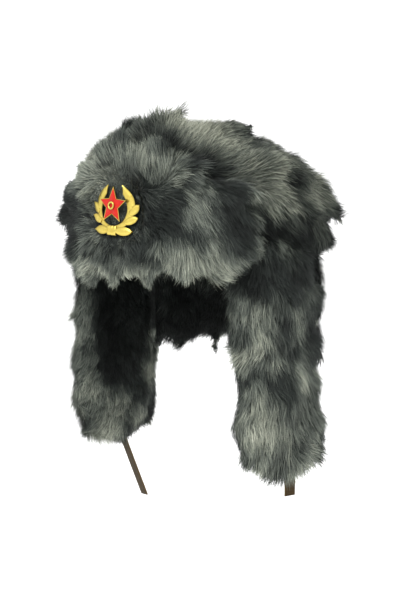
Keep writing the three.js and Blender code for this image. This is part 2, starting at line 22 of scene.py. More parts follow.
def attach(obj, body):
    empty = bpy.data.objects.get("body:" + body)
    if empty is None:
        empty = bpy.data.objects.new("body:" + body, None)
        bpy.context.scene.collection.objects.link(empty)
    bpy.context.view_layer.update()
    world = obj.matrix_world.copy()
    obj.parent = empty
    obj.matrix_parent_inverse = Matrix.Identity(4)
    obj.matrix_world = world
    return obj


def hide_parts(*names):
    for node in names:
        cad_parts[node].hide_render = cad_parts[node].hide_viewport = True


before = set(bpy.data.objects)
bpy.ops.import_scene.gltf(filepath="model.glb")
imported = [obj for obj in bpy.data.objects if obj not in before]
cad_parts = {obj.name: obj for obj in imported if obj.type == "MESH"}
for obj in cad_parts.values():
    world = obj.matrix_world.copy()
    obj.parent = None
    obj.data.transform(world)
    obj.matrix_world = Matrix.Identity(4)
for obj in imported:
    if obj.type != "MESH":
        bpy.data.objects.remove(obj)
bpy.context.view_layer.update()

LOG = logging.getLogger("ushanka")

# The kinds of node that the trees use most
ATTRIBUTE = "GeometryNodeInputNamedAttribute"
CHANCE = "FunctionNodeRandomValue"
MATH = "ShaderNodeMath"
VECTOR_MATH = "ShaderNodeVectorMath"

# A corner's place, and a face as the numbers of its corners
Point = tuple[float, float, float]
Face = tuple[int, ...]


class Region(Enum):
    """Where on the hat a coat of pile lies, by the name of its solid."""

    LINING = "lining"
    CROWN = "crown"
    FRONT = "front_flap"
    LEFT_EAR = "ear_flap_left"
    RIGHT_EAR = "ear_flap_right"
    NECK = "neck_flap"


def mm(value: float) -> float:
    """Turn millimetres into metres."""
    return value / 1000


def mm_point(place: Point) -> Vector:
    """Turn a place in millimetres into one in metres."""
    return Vector(place) / 1000


def linear(colour: str) -> tuple[float, float, float, float]:
    """Turn an sRGB colour into a linear one.

    Args:
        colour: six hex digits.

    Returns:
        Red, green, blue and an alpha of 1.
    """
    parts = [int(colour[i:i + 2], 16) / 255 for i in (0, 2, 4)]
    red, green, blue = [c / 12.92 if c <= 0.04045 else ((c + 0.055) / 1.055) ** 2.4 for c in parts]
    return red, green, blue, 1.0


def set_inputs(tree: NodeTree, node: Node, inputs: dict) -> None:
    """Set a node's inputs.

    Args:
        tree: the node's tree.
        node: the node.
        inputs: values for its sockets, or sockets to link them to, by name or place.
    """
    for key, value in inputs.items():
        if isinstance(key, int):
            socket = node.inputs[key]
        else:
            socket = next(s for s in node.inputs if s.name == key and s.enabled)
        if isinstance(value, NodeSocket):
            tree.links.new(value, socket)
        else:
            socket.default_value = value


def add_node(tree: NodeTree, kind: str, inputs: dict | None = None, **settings: object) -> Node:
    """Add a node to a tree.

    Args:
        tree: the tree that takes the node.
        kind: the node's type.
        inputs: values for its sockets, or sockets to link them to, by name or place.
        settings: the node's own properties.

    Returns:
        The node.
    """
    node = tree.nodes.new(kind)
    for name, value in settings.items():
        setattr(node, name, value)
    set_inputs(tree, node, inputs or {})
    return node


def out(node: Node, name: str | None = None) -> NodeSocket:
    """Return a node's output by name, or its first one that is in use."""
    return next(s for s in node.outputs if s.enabled and name in (None, s.name))


def new_tree(name: str, inputs: dict[str, str]) -> tuple[NodeTree, NodeOutputs]:
    """Start a tree of geometry nodes, from geometry to geometry.

    Args:
        name: the tree's name.
        inputs: the type of each input that follows the geometry, by name.

    Returns:
        The tree, and its inputs as sockets to link from.
    """
    tree = bpy.data.node_groups.new(name, "GeometryNodeTree")
    for socket, kind in {"Geometry": "Geometry", **inputs}.items():
        tree.interface.new_socket(socket, in_out="INPUT", socket_type="NodeSocket" + kind)
    tree.interface.new_socket("Geometry", in_out="OUTPUT", socket_type="NodeSocketGeometry")
    return tree, add_node(tree, "NodeGroupInput").outputs


def linked(name: str, data: bpy.types.ID) -> Object:
    """Put an object into the scene.

    Args:
        name: the object's name.
        data: what it holds.

    Returns:
        The object.
    """
    obj = bpy.data.objects.new(name, data)
    bpy.context.scene.collection.objects.link(obj)
    return obj


def new_object(name: str, points: Sequence[Point], faces: Sequence[Face]) -> Object:
    """Make a mesh object at the origin.

    Args:
        name: the piece's name.
        points: its corners, in metres.
        faces: its faces, as corner numbers.

    Returns:
        The object, linked into the scene.
    """
    mesh = bpy.data.meshes.new(name)
    mesh.from_pydata([tuple(p) for p in points], [], faces)
    mesh.update()
    return linked(name, mesh)


def plain_mesh(obj: Object, name: str) -> Object:
    """Turn an object with modifiers into a plain mesh object of its own.

    Args:
        obj: the object, which is removed.
        name: the new object's name.

    Returns:
        The new object, with the modifiers' result as its mesh.
    """
    evaluated = obj.evaluated_get(bpy.context.evaluated_depsgraph_get())
    mesh = bpy.data.meshes.new_from_object(evaluated)
    bpy.data.objects.remove(obj)
    mesh.name = name
    return linked(name, mesh)


def run_nodes(obj: Object, tree: NodeTree, inputs: dict, name: str) -> Object:
    """Run geometry nodes on an object.

    Args:
        obj: the object, which is removed.
        tree: the nodes.
        inputs: values for the tree's inputs, by name.
        name: the new object's name.

    Returns:
        The nodes' result as a plain mesh object.
    """
    modifier = obj.modifiers.new(name, "NODES")
    modifier.node_group = tree
    for item in tree.interface.items_tree:
        if item.in_out == "INPUT" and item.name in inputs:
            modifier[item.identifier] = inputs[item.name]
    return plain_mesh(obj, name)


@contextmanager
def opened(obj: Object) -> Iterator[bmesh.types.BMesh]:
    """Open an object's mesh for changes, and write them back.

    Args:
        obj: the object.

    Yields:
        The mesh, open for changes.
    """
    opened_mesh = bmesh.new()
    opened_mesh.from_mesh(obj.data)
    yield opened_mesh
    opened_mesh.to_mesh(obj.data)
    opened_mesh.free()


def merged_copy(node: str, name: str) -> Object:
    """Copy a solid of the frame, with its loose triangles joined.

    Args:
        node: the solid's name.
        name: the copy's name.

    Returns:
        The copy, linked into the scene.
    """
    obj = linked(name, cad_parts[node].data.copy())
    with opened(obj) as mesh:
        bmesh.ops.remove_doubles(mesh, verts=mesh.verts, dist=mm(0.01))
    return obj


def keep_largest_part(obj: Object) -> None:
    """Drop the loose bits of a mesh that remeshing cut off its thin tips.

    Args:
        obj: the object, whose mesh is changed.
    """
    with opened(obj) as mesh:
        left = set(mesh.verts)
        parts = []
        while left:
            rim = [left.pop()]
            part = []
            while rim:
                vertex = rim.pop()
                part.append(vertex)
                fresh = left.intersection(edge.other_vert(vertex) for edge in vertex.link_edges)
                left -= fresh
                rim.extend(fresh)
            parts.append(part)
        parts.sort(key=len)
        bmesh.ops.delete(mesh, geom=[v for part in parts[:-1] for v in part], context="VERTS")
    LOG.info("%s: %d loose bits dropped", obj.name, len(parts) - 1)


def face_outwards(obj: Object) -> None:
    """Turn a closed mesh's faces out."""
    with opened(obj) as mesh:
        bmesh.ops.recalc_face_normals(mesh, faces=mesh.faces)


def shade_smooth(obj: Object, angle: float = 35.0) -> None:
    """Shade a mesh smooth, but for its sharper edges.

    Args:
        obj: the mesh's object.
        angle: the sharpest edge that is smooth, in degrees.
    """
    obj.data.polygons.foreach_set("use_smooth", [True] * len(obj.data.polygons))
    with opened(obj) as mesh:
        for edge in mesh.edges:
            edge.smooth = len(edge.link_faces) == 2 and edge.calc_face_angle() < math.radians(angle)


def joined(parts: Sequence[Object], name: str) -> Object:
    """Join objects into one without a material.

    Args:
        parts: the objects, which are removed.
        name: the whole's name.

    Returns:
        The whole, linked into the scene.
    """
    obj = new_object(name, [], [])
    with opened(obj) as mesh:
        for part in parts:
            mesh.from_mesh(part.data)
            bpy.data.objects.remove(part)
        for face in mesh.faces:
            face.material_index = 0
    return obj


def capped_loft(points: Sequence[Point], around: int, ends: tuple[Point, Point]) -> tuple[list, list]:
    """Join rings of points into a closed skin.

    Args:
        points: the rings' points, one ring after another.
        around: how many points a ring has.
        ends: the points that close the first and the last ring.

    Returns:
        The skin's points, and its faces as corner numbers.
    """
    rings = len(points) // around
    faces = []
    for ring in range(rings - 1):
        for i in range(around):
            a, b = ring * around + i, ring * around + (i + 1) % around
            faces.append((a, b, b + around, a + around))
    first, last = len(points), len(points) + 1
    for i in range(around):
        following = (i + 1) % around
        faces.append((first, following, i))
        faces.append((last, (rings - 1) * around + i, (rings - 1) * around + following))
    return [*points, *ends], faces


def soften(value: float, squareness: float) -> float:
    """Return a rounded-square sine or cosine: 1 is a circle, and less is boxier."""
    return math.copysign(abs(value) ** squareness, value)


def write_attribute(obj: Object, name: str, values: Sequence) -> None:
    """Write an attribute on a mesh's points.

    Args:
        obj: the object.
        name: the attribute's name.
        values: a number or a vector for each point.
    """
    is_vector = not isinstance(values[0], (int, float))
    attribute = obj.data.attributes.new(name, "FLOAT_VECTOR" if is_vector else "FLOAT", "POINT")
    flat = [c for value in values for c in value] if is_vector else values
    attribute.data.foreach_set("vector" if is_vector else "value", flat)


def finish_piece(obj: Object, slot: str, *nodes: str) -> None:
    """Tie a finished piece to the hat, and report it.

    Args:
        obj: the piece.
        slot: its material slot, which is not used.
        nodes: the solids that it stands for.
    """
    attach(obj, "root")
    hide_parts(*nodes)
    LOG.info("%s: %d faces", obj.name, len(obj.data.polygons))


@dataclass(frozen=True)
class Finish:
    """What every finish has: a name, and a material whose shader its own class sets."""

    name: str

    def _blank(self) -> tuple[Material, NodeTree, Node]:
        """Start a material.

        Returns:
            The material, its tree and its shader.
        """
        material = bpy.data.materials.new(self.name)
        material.use_nodes = True
        return material, material.node_tree, material.node_tree.nodes["Principled BSDF"]

    @staticmethod
    def _cloud(tree: NodeTree, size: float, detail: float) -> NodeSocket:
        """Add cloudy mottling, which keeps its place on the piece.

        Args:
            tree: the material's tree.
            size: the clouds' size in metres.
            detail: how many finer layers they have.

        Returns:
            The mottling, from 0 to 1.
        """
        place = add_node(tree, "ShaderNodeTexCoord").outputs["Object"]
        inputs = {"Vector": place, "Scale": 1 / size, "Detail": detail}
        return out(add_node(tree, "ShaderNodeTexNoise", inputs))


@dataclass(frozen=True)
class PlushFinish(Finish):
    """Acrylic fun fur, knitted and shorn, then dyed in patches, whose tone also holds painted light
    and shade.

    Each strand is painted dark at its root and pale at its tip, as painted shade deep in the pile
    and painted light on the tips, and it has the soft gloss of a synthetic fibre.
    """

    name: str = "dyed_acrylic_plush"
    shades: tuple[tuple[float, str], ...] = (
        (0.0, "141716"), (0.3, "343936"), (0.6, "6f756c"), (0.85, "a3a898"), (1.0, "c2c5b4"),
    )
    # Painted shade at a strand's root and painted light at its tip, as factors on its colour
    root: float = 0.4
    tip: float = 1.12
    roughness: float = 0.6
    gloss: float = 0.15

    def material(self) -> Material:
        """Build the material, which reads each strand's tone and the place along it, and paints shade
        at the root and light at the tip.

        Returns:
            The material.
        """
        material, tree, shader = self._blank()
        tone = add_node(tree, "ShaderNodeAttribute", attribute_name="tone")
        along = add_node(tree, "ShaderNodeAttribute", attribute_name="along")
        ramp = add_node(tree, "ShaderNodeValToRGB", {"Fac": tone.outputs["Fac"]})
        stops = ramp.color_ramp.elements
        while len(stops) < len(self.shades):
            stops.new(0.5)
        for stop, (place, colour) in zip(stops, self.shades):
            stop.position = place
            stop.color = linear(colour)
        # Painted shade and light along each strand, from `root` at its root to `tip` at its tip
        depth = add_node(tree, "ShaderNodeMapRange", {
            "Value": along.outputs["Fac"], "To Min": self.root, "To Max": self.tip,
        })
        lit = add_node(tree, VECTOR_MATH, {
            "Vector": ramp.outputs["Color"], "Scale": depth.outputs["Result"],
        }, operation="SCALE")
        set_inputs(tree, shader, {
            "Base Color": out(lit), "Roughness": self.roughness, "Specular IOR Level": self.gloss,
        })
        return material


@dataclass(frozen=True)
class GiltFinish(Finish):
    """Stamped brass with a bright gilt wash, and painted shade on its steep sides."""

    name: str = "gilt_stamped_brass"
    bright: str = "f0de78"
    dull: str = "ceb14c"
    shadow: str = "766026"
    roughness: float = 0.32
    grain: float = mm(3)
    dent: float = mm(0.2)

    def material(self) -> Material:
        """Build the material, which reads `slope`, 0 on raised faces and 1 on a leaf's steep sides,
        and paints shade on the steep sides.

        Returns:
            The material.
        """
        material, tree, shader = self._blank()
        cloud = self._cloud(tree, self.grain, 3.0)
        tone = add_node(tree, "ShaderNodeMix", {
            "Factor": cloud, "A": linear(self.dull), "B": linear(self.bright),
        }, data_type="RGBA")
        # Painted shade: the steeper a face, the nearer its colour goes to `shadow`
        slope = add_node(tree, "ShaderNodeAttribute", attribute_name="slope")
        painted_slope_shade = add_node(tree, "ShaderNodeMapRange", {
            "Value": slope.outputs["Fac"], "From Min": 0.05, "From Max": 0.7, "To Max": 0.9,
        })
        shaded = add_node(tree, "ShaderNodeMix", {
            "Factor": painted_slope_shade.outputs["Result"], "A": out(tone), "B": linear(self.shadow),
        }, data_type="RGBA")
        bump = add_node(tree, "ShaderNodeBump", {
            "Height": cloud, "Strength": 0.15, "Distance": self.dent,
        })
        set_inputs(tree, shader, {
            "Base Color": out(shaded), "Normal": out(bump), "Metallic": 1.0,
            "Roughness": self.roughness,
        })
        return material


@dataclass(frozen=True)
class EnamelFinish(Finish):
    """Hard red enamel, fired into the star and flat-polished, so it is glossy and clear."""

    name: str = "fired_red_enamel"
    body: str = "c4200f"
    shadow: str = "9c160b"
    roughness: float = 0.22
    gloss: float = 0.3
    grain: float = mm(5)

    def material(self) -> Material:
        """Build the material, with the faint clouding of fired glass.

        Returns:
            The material.
        """
        material, tree, shader = self._blank()
        tone = add_node(tree, "ShaderNodeMix", {
            "Factor": self._cloud(tree, self.grain, 2.0),
            "A": linear(self.shadow), "B": linear(self.body),
        }, data_type="RGBA")
        set_inputs(tree, shader, {
            "Base Color": out(tone), "Roughness": self.roughness, "Specular IOR Level": self.gloss,
        })
        return material


@dataclass(frozen=True)
class StrapFinish(Finish):
    """Brown split leather, waxed and creased across, and paler where its edges rub."""

    name: str = "waxed_brown_leather"
    body: str = "281d0b"
    worn: str = "5a4726"
    roughness: float = 0.5
    gloss: float = 0.12
    grain: float = mm(1.4)
    crease: float = mm(0.3)
    mottle: float = mm(6)

    def material(self) -> Material:
        """Build the material, which reads `across`, from -1 to 1 over the strap's width.

        Returns:
            The material.
        """
        material, tree, shader = self._blank()
        place = add_node(tree, "ShaderNodeTexCoord").outputs["Object"]
        grain = add_node(tree, "ShaderNodeTexVoronoi", {"Vector": place, "Scale": 1 / self.grain})
        across = add_node(tree, "ShaderNodeAttribute", attribute_name="across")
        edge = add_node(tree, MATH, {0: across.outputs["Fac"]}, operation="ABSOLUTE")
        rubbed = add_node(tree, "ShaderNodeMapRange", {
            "Value": out(edge), "From Min": 0.75, "From Max": 1.0, "To Min": -0.1, "To Max": 0.5,
        })
        mixed = add_node(tree, MATH, {
            0: self._cloud(tree, self.mottle, 4.0), 1: 0.5, 2: out(rubbed),
        }, operation="MULTIPLY_ADD", use_clamp=True)
        tone = add_node(tree, "ShaderNodeMix", {
            "Factor": out(mixed), "A": linear(self.body), "B": linear(self.worn),
        }, data_type="RGBA")
        bump = add_node(tree, "ShaderNodeBump", {
            "Height": out(grain), "Strength": 0.8, "Distance": self.crease,
        })
        set_inputs(tree, shader, {
            "Base Color": out(tone), "Normal": out(bump), "Roughness": self.roughness,
            "Specular IOR Level": self.gloss,
        })
        return material


@dataclass(frozen=True)
class StrandTree:
    """Geometry nodes that plant strands over a skin and gather them into pointed locks.

    The skin brings `lie`, `reach`, `shade` and `crop` of its own.
    """

    name: str = "plush_strands"
    lock_spread: float = 0.1
    roll: float = 0.6
    shortest: float = 0.7
    longest: float = 1.15
    tone_spread: float = 0.05
    pale_spread: float = 0.3
    seed_step: float = 100.0

    def build(self) -> NodeTree:
        """Build the tree, with named inputs for its sizes.

        Returns:
            The tree.
        """
        tree, given = new_tree(self.name, {
            "Strand": "Object", "Density": "Float", "Lock Density": "Float", "Gather": "Float",
            "Rise": "Float", "Stray": "Float", "Width": "Float", "Keep Skin": "Bool", "Seed": "Int",
            "Material": "Material",
        })
        locks, tip, lock_shade = self._locks(tree, given)
        strands = self._strands(tree, given, locks, tip, lock_shade)
        skin = add_node(tree, "GeometryNodeSwitch", {
            "Switch": given["Keep Skin"], "True": given["Geometry"],
        }, input_type="GEOMETRY")
        whole = add_node(tree, "GeometryNodeJoinGeometry", {"Geometry": out(skin)})
        tree.links.new(strands, whole.inputs[0])
        dressed = add_node(tree, "GeometryNodeSetMaterial", {
            "Geometry": out(whole), "Material": given["Material"],
        })
        add_node(tree, "NodeGroupOutput", {0: out(dressed)})
        return tree

    @staticmethod
    def _aim(tree: NodeTree, normal: NodeSocket, rise: NodeSocket) -> NodeSocket:
        """Add a strand's own vector from root to tip, along the lie and up.

        Args:
            tree: the tree.
            normal: the way out of the skin.
            rise: how far up it goes.

        Returns:
            The vector as a field.
        """
        lie = add_node(tree, ATTRIBUTE, {"Name": "lie"}, data_type="FLOAT_VECTOR")
        reach = add_node(tree, ATTRIBUTE, {"Name": "reach"}, data_type="FLOAT")
        up = add_node(tree, VECTOR_MATH, {0: normal, "Scale": rise}, operation="SCALE")
        aim = add_node(tree, VECTOR_MATH, {0: out(lie), 1: out(up)}, operation="ADD")
        return out(add_node(tree, VECTOR_MATH, {0: out(aim), "Scale": out(reach)}, operation="SCALE"))

    def _locks(self, tree: NodeTree, given: NodeOutputs) -> tuple[NodeSocket, NodeSocket, NodeSocket]:
        """Plant the middles of the locks.

        Args:
            tree: the tree.
            given: its inputs.

        Returns:
            The middles as points, and each one's tip and shade as fields on them.
        """
        planted = add_node(tree, "GeometryNodeDistributePointsOnFaces", {
            "Mesh": given["Geometry"], "Density": given["Lock Density"], "Seed": given["Seed"],
        })
        kept = add_node(tree, "GeometryNodeStoreNamedAttribute", {
            "Geometry": out(planted, "Points"), "Name": "lock_up", "Value": out(planted, "Normal"),
        }, data_type="FLOAT_VECTOR", domain="POINT")
        normal = add_node(tree, ATTRIBUTE, {"Name": "lock_up"}, data_type="FLOAT_VECTOR")
        tip = add_node(tree, VECTOR_MATH, {
            0: out(add_node(tree, "GeometryNodeInputPosition")),
            1: self._aim(tree, out(normal), given["Rise"]),
        }, operation="ADD")
        skin_shade = add_node(tree, ATTRIBUTE, {"Name": "shade"}, data_type="FLOAT")
        spread = add_node(tree, CHANCE, {
            "Min": -self.lock_spread, "Max": self.lock_spread, "Seed": given["Seed"],
        }, data_type="FLOAT")
        shade = add_node(tree, MATH, {0: out(skin_shade), 1: out(spread)}, operation="ADD")
        return out(kept), out(tip), out(shade)

    def _strands(self, tree: NodeTree, given: NodeOutputs, locks: NodeSocket, tip: NodeSocket,
                 lock_shade: NodeSocket) -> NodeSocket:
        """Plant the strands and lean each towards the tip of its nearest lock.

        Args:
            tree: the tree.
            given: its inputs.
            locks: the locks' middles.
            tip: each lock's tip.
            lock_shade: each lock's shade.

        Returns:
            The strands as real faces.
        """
        crop = add_node(tree, ATTRIBUTE, {"Name": "crop"}, data_type="FLOAT")
        density = add_node(tree, MATH, {0: given["Density"], 1: out(crop)}, operation="MULTIPLY")
        seed = add_node(tree, MATH, {0: given["Seed"], 1: self.seed_step}, operation="ADD")
        planted = add_node(tree, "GeometryNodeDistributePointsOnFaces", {
            "Mesh": given["Geometry"], "Density": out(density), "Seed": out(seed),
        })
        kept = add_node(tree, "GeometryNodeStoreNamedAttribute", {
            "Geometry": out(planted, "Points"), "Name": "up", "Value": out(planted, "Normal"),
        }, data_type="FLOAT_VECTOR", domain="POINT")
        normal = out(add_node(tree, ATTRIBUTE, {"Name": "up"}, data_type="FLOAT_VECTOR"))
        place = out(add_node(tree, "GeometryNodeInputPosition"))
        nearest = out(add_node(tree, "GeometryNodeSampleNearest", {
            "Geometry": locks, "Sample Position": place,
        }))
        lock_tip = add_node(tree, "GeometryNodeSampleIndex", {
            "Geometry": locks, "Value": tip, "Index": nearest,
        }, data_type="FLOAT_VECTOR")
        shade = add_node(tree, "GeometryNodeSampleIndex", {
            "Geometry": locks, "Value": lock_shade, "Index": nearest,
        }, data_type="FLOAT")
        gathered = add_node(tree, VECTOR_MATH, {0: out(lock_tip), 1: place}, operation="SUBTRACT")
        leaning = add_node(tree, "ShaderNodeMix", {
            "Factor": given["Gather"], "A": self._aim(tree, normal, given["Rise"]), "B": out(gathered),
        }, data_type="VECTOR")
        stray = add_node(tree, CHANCE, {
            "Min": (-1.0, -1.0, -1.0), "Max": (1.0, 1.0, 1.0), "Seed": given["Seed"],
        }, data_type="FLOAT_VECTOR")
        reach = add_node(tree, ATTRIBUTE, {"Name": "reach"}, data_type="FLOAT")
        loose = add_node(tree, MATH, {0: out(reach), 1: given["Stray"]}, operation="MULTIPLY")
        astray = add_node(tree, VECTOR_MATH, {0: out(stray), "Scale": out(loose)}, operation="SCALE")
        run = out(add_node(tree, VECTOR_MATH, {0: out(leaning), 1: out(astray)}, operation="ADD"))
        roll = add_node(tree, VECTOR_MATH, {0: out(stray), "Scale": self.roll}, operation="SCALE")
        face = add_node(tree, VECTOR_MATH, {0: normal, 1: out(roll)}, operation="ADD")
        turned = add_node(tree, "FunctionNodeAlignRotationToVector", {"Vector": run}, axis="Y")
        turned = add_node(tree, "FunctionNodeAlignRotationToVector", {
            "Rotation": out(turned), "Vector": out(face),
        }, axis="Z", pivot_axis="Y")
        stretch = add_node(tree, CHANCE, {
            "Min": self.shortest, "Max": self.longest, "Seed": given["Seed"],
        }, data_type="FLOAT")
        span = add_node(tree, VECTOR_MATH, {0: run}, operation="LENGTH")
        length = out(add_node(tree, MATH, {0: out(span), 1: out(stretch)}, operation="MULTIPLY"))
        size = add_node(tree, "ShaderNodeCombineXYZ", {"X": given["Width"], "Y": length, "Z": length})
        strand = add_node(tree, "GeometryNodeObjectInfo", {"Object": given["Strand"]})
        sown = add_node(tree, "GeometryNodeInstanceOnPoints", {
            "Points": out(kept), "Instance": out(strand, "Geometry"),
            "Rotation": out(turned), "Scale": out(size),
        })
        chance = add_node(tree, CHANCE, {
            "Min": -1.0, "Max": 1.0, "Seed": given["Seed"],
        }, data_type="FLOAT")
        spread = add_node(tree, MATH, {
            0: out(shade), 1: self.pale_spread, 2: self.tone_spread,
        }, operation="MULTIPLY_ADD")
        tone = add_node(tree, MATH, {
            0: out(chance), 1: out(spread), 2: out(shade),
        }, operation="MULTIPLY_ADD")
        toned = add_node(tree, "GeometryNodeStoreNamedAttribute", {
            "Geometry": out(sown), "Name": "tone", "Value": out(tone),
        }, data_type="FLOAT", domain="INSTANCE")
        return out(add_node(tree, "GeometryNodeRealizeInstances", {"Geometry": out(toned)}))


@dataclass(frozen=True)
class Strand:
    """One strand of pile: a flat blade of unit width and length, widest low down, bent up."""

    widest: float = 0.4
    bow: float = 0.1

    def build(self) -> Object:
        """Make the blade, with `along` running from 0 at its root to 1 at its tip.

        Returns:
            The blade.
        """
        points = [(0, 0, 0), (0.5, self.widest, self.bow), (0, 1, 0), (-0.5, self.widest, self.bow)]
        obj = new_object("strand", points, [(0, 1, 3), (1, 2, 3)])
        write_attribute(obj, "along", [along for _, along, _ in points])
        return obj


@dataclass(frozen=True)
class Spot:
    """A round place on a coat, in millimetres."""

    place: Point
    radius: float

    def near(self, place: Vector) -> float:
        """Return 1 at the spot's middle, less around it, and 0 from its edge on."""
        far = (place - mm_point(self.place)).length / mm(self.radius)
        return max(0.0, 1 - far * far)


@dataclass(frozen=True)
class Patch(Spot):
    """A spot made paler or darker, towards a shade from 0, dark, to 1, pale. Spots hold the dye's own
    patches and also painted light and shade.
    """

    shade: float


@dataclass(frozen=True)
class Comb(Spot):
    """A spot where the pile was brushed another way."""

    toward: Point


@dataclass(frozen=True)
class Trim(Spot):
    """A spot where the pile has another length, as a share of the full one."""

    share: float


# Where the pile was brushed another way, and where it is short or long
CROWN_COMBS = (
    Comb((-8, -75, 130), 30, (-0.4, -0.3, 1.0)),
    Comb((35, -75, 122), 44, (-0.4, 0.6, 0.8)),
    Comb((92, -45, 108), 44, (0.1, 0.7, 0.5)),
    Comb((118, -20, 62), 38, (0.1, 0.4, -0.9)),
)
CROWN_TRIMS = (
    Trim((-8, -75, 130), 26, 1.4),
    Trim((85, 0, 120), 48, 0.7),
    Trim((40, -5, 140), 38, 0.5),
    Trim((75, -30, 128), 36, 0.6),
    Trim((55, 138, 32), 34, 0.5),
)
LEFT_EAR_TRIMS = (Trim((108, 5, -192), 42, 1.5),)
RIGHT_EAR_TRIMS = (Trim((-97, -25, -188), 36, 1.4),)
NECK_TRIMS = (Trim((-55, 90, -100), 30, 0.7),)
FRONT_COMBS = (
    Comb((95, -92, 50), 48, (0.1, 0.1, -1.0)),
    Comb((58, -115, 20), 28, (-0.7, 0.0, -0.8)),
    Comb((38, -115, 105), 34, (-0.6, -0.2, 0.8)),
    Comb((0, -105, 130), 34, (0.0, 1.0, 0.1)),
)
FRONT_TRIMS = (
    Trim((4, -121, 60), 38, 0.15),
    Trim((45, -115, 0), 30, 0.55),
    Trim((0, -115, -8), 34, 0.65),
    Trim((-62, -112, 80), 40, 0.5),
    Trim((0, -100, 138), 26, 0.6),
)

# Patches of tone on the side of the hat that the camera sees. They hold the dye's own patches and
# also painted light and shade: a paler top, dark bands where the flaps meet the crown and dark
# flap edges
CROWN_PATCHES = (
    # Painted shade in the furrow between the crown and the front flap
    Patch((30, -86, 117), 28, 0.02),
    Patch((60, -88, 108), 28, 0.04),
    Patch((90, -86, 98), 34, 0.02),
    Patch((110, -73, 70), 32, 0.02),
    Patch((105, -70, 40), 28, 0.06),
    # The crown's pale top: painted light from above, over the dye's pale patch
    Patch((15, -42, 132), 36, 0.9),
    Patch((68, -50, 123), 34, 0.9),
    Patch((95, -45, 100), 26, 0.66),
    Patch((95, -15, 118), 30, 0.55),
    Patch((120, -30, 68), 30, 0.8),
    Patch((110, 40, 85), 40, 0.72),
    Patch((110, 20, 97), 24, 0.5),
    # Painted shade in the band where the crown overhangs the left ear flap
    Patch((108, -55, 45), 28, 0.03),
    Patch((114, -20, 38), 30, 0.03),
    Patch((114, 15, 30), 30, 0.05),
    Patch((108, 48, 20), 30, 0.1),
    Patch((48, -66, 120), 24, 0.85),
    Patch((5, -76, 124), 22, 0.25),
    Patch((114, -18, 102), 20, 0.75),
    Patch((122, -12, 52), 18, 0.45),
    Patch((111, 44, 42), 20, 0.5),
)
FRONT_PATCHES = (
    Patch((-25, -122, 85), 26, 0.5),
    Patch((30, -118, 108), 30, 0.6),
    Patch((55, -115, 96), 26, 0.55),
    Patch((5, -110, 128), 20, 0.15),
    Patch((-62, -108, 45), 34, 0.0),
    Patch((-85, -90, 60), 36, 0.0),
    Patch((-88, -88, 22), 32, 0.08),
    Patch((32, -125, 62), 28, 0.3),
    Patch((55, -120, 60), 26, 0.1),
    Patch((70, -115, 52), 26, 0.03),
    Patch((85, -105, 62), 22, 0.5),
    Patch((95, -90, 20), 32, 0.72),
    Patch((55, -115, 16), 30, 0.52),
    Patch((-28, -118, 4), 26, 0.85),
    Patch((25, -130, 28), 22, 0.28),
    # Painted shade at the front flap's right end, where it meets the crown
    Patch((86, -97, 100), 26, 0.01),
    Patch((107, -88, 72), 28, 0.01),
    Patch((106, -75, 42), 24, 0.03),
    Patch((-30, -118, 88), 20, 0.62),
    Patch((4, -118, 60), 22, 0.5),
    Patch((4, -118, 116), 20, 0.25),
    Patch((59, -115, 114), 15, 0.1),
    Patch((44, -121, 30), 17, 0.03),
    Patch((-32, -111, -6), 18, 0.4),
    Patch((72, -112, 34), 15, 0.6),
    Patch((87, -105, 86), 20, 0.5),
    Patch((102, -62, 8), 18, 0.04),
)
LEFT_EAR_PATCHES = (
    # Painted shade on the flap's top, under the crown's overhang
    Patch((105, -45, 12), 30, 0.05),
    Patch((107, -12, 2), 34, 0.04),
    Patch((105, 25, 5), 28, 0.1),
    Patch((90, -60, -20), 22, 0.42),
    Patch((105, -40, -35), 24, 0.5),
    Patch((100, -50, -62), 26, 0.8),
    Patch((105, -45, -82), 18, 0.2),
    Patch((110, -15, -90), 22, 0.13),
    Patch((90, -60, -120), 18, 0.12),
    Patch((102, -50, -130), 26, 0.8),
    Patch((112, -25, -155), 34, 0.62),
    Patch((110, 30, -70), 28, 0.08),
    Patch((110, 35, -32), 28, 0.12),
    Patch((113, 26, -115), 26, 0.25),
    Patch((110, 10, -118), 30, 0.42),
    # Painted shadow in the furrow along the flap's front edge
    Patch((97, -67, -45), 19, 0.22),
    Patch((93, -64, -82), 16, 0.12),
    Patch((109, -48, -101), 20, 0.75),
    Patch((108, -20, -158), 18, 0.35),
)
RIGHT_EAR_PATCHES = (
    Patch((-90, -64, -38), 22, 0.55),
    Patch((-90, -62, -65), 24, 0.5),
    Patch((-90, -60, -95), 24, 0.45),
    Patch((-88, -57, -125), 26, 0.75),
    Patch((-85, -10, -45), 46, 0.12),
    Patch((-85, -8, -100), 40, 0.12),
    Patch((-90, -30, -158), 34, 0.7),
    Patch((-90, 34, -85), 20, 0.6),
    Patch((-90, 30, -118), 24, 0.75),
    Patch((-95, -30, -182), 26, 0.85),
    Patch((-90, 13, -165), 20, 0.7),
)
NECK_PATCHES = (Patch((0, 70, -50), 42, 0.02),)


def wander(place: Vector, size: float) -> Vector:
    """Turn smoothly from place to place, alike in every run.

    Args:
        place: the point.
        size: how far apart the turns are, in metres.

    Returns:
        The direction at that point, about one unit long at most.
    """
    spot = place * (1 / size)
    shifts = ((9.3, -1.5, -8.0), (0.0, 0.0, 0.0), (-7.7, 3.2, 4.7))
    return Vector([noise.noise(spot + Vector(shift)) for shift in shifts])


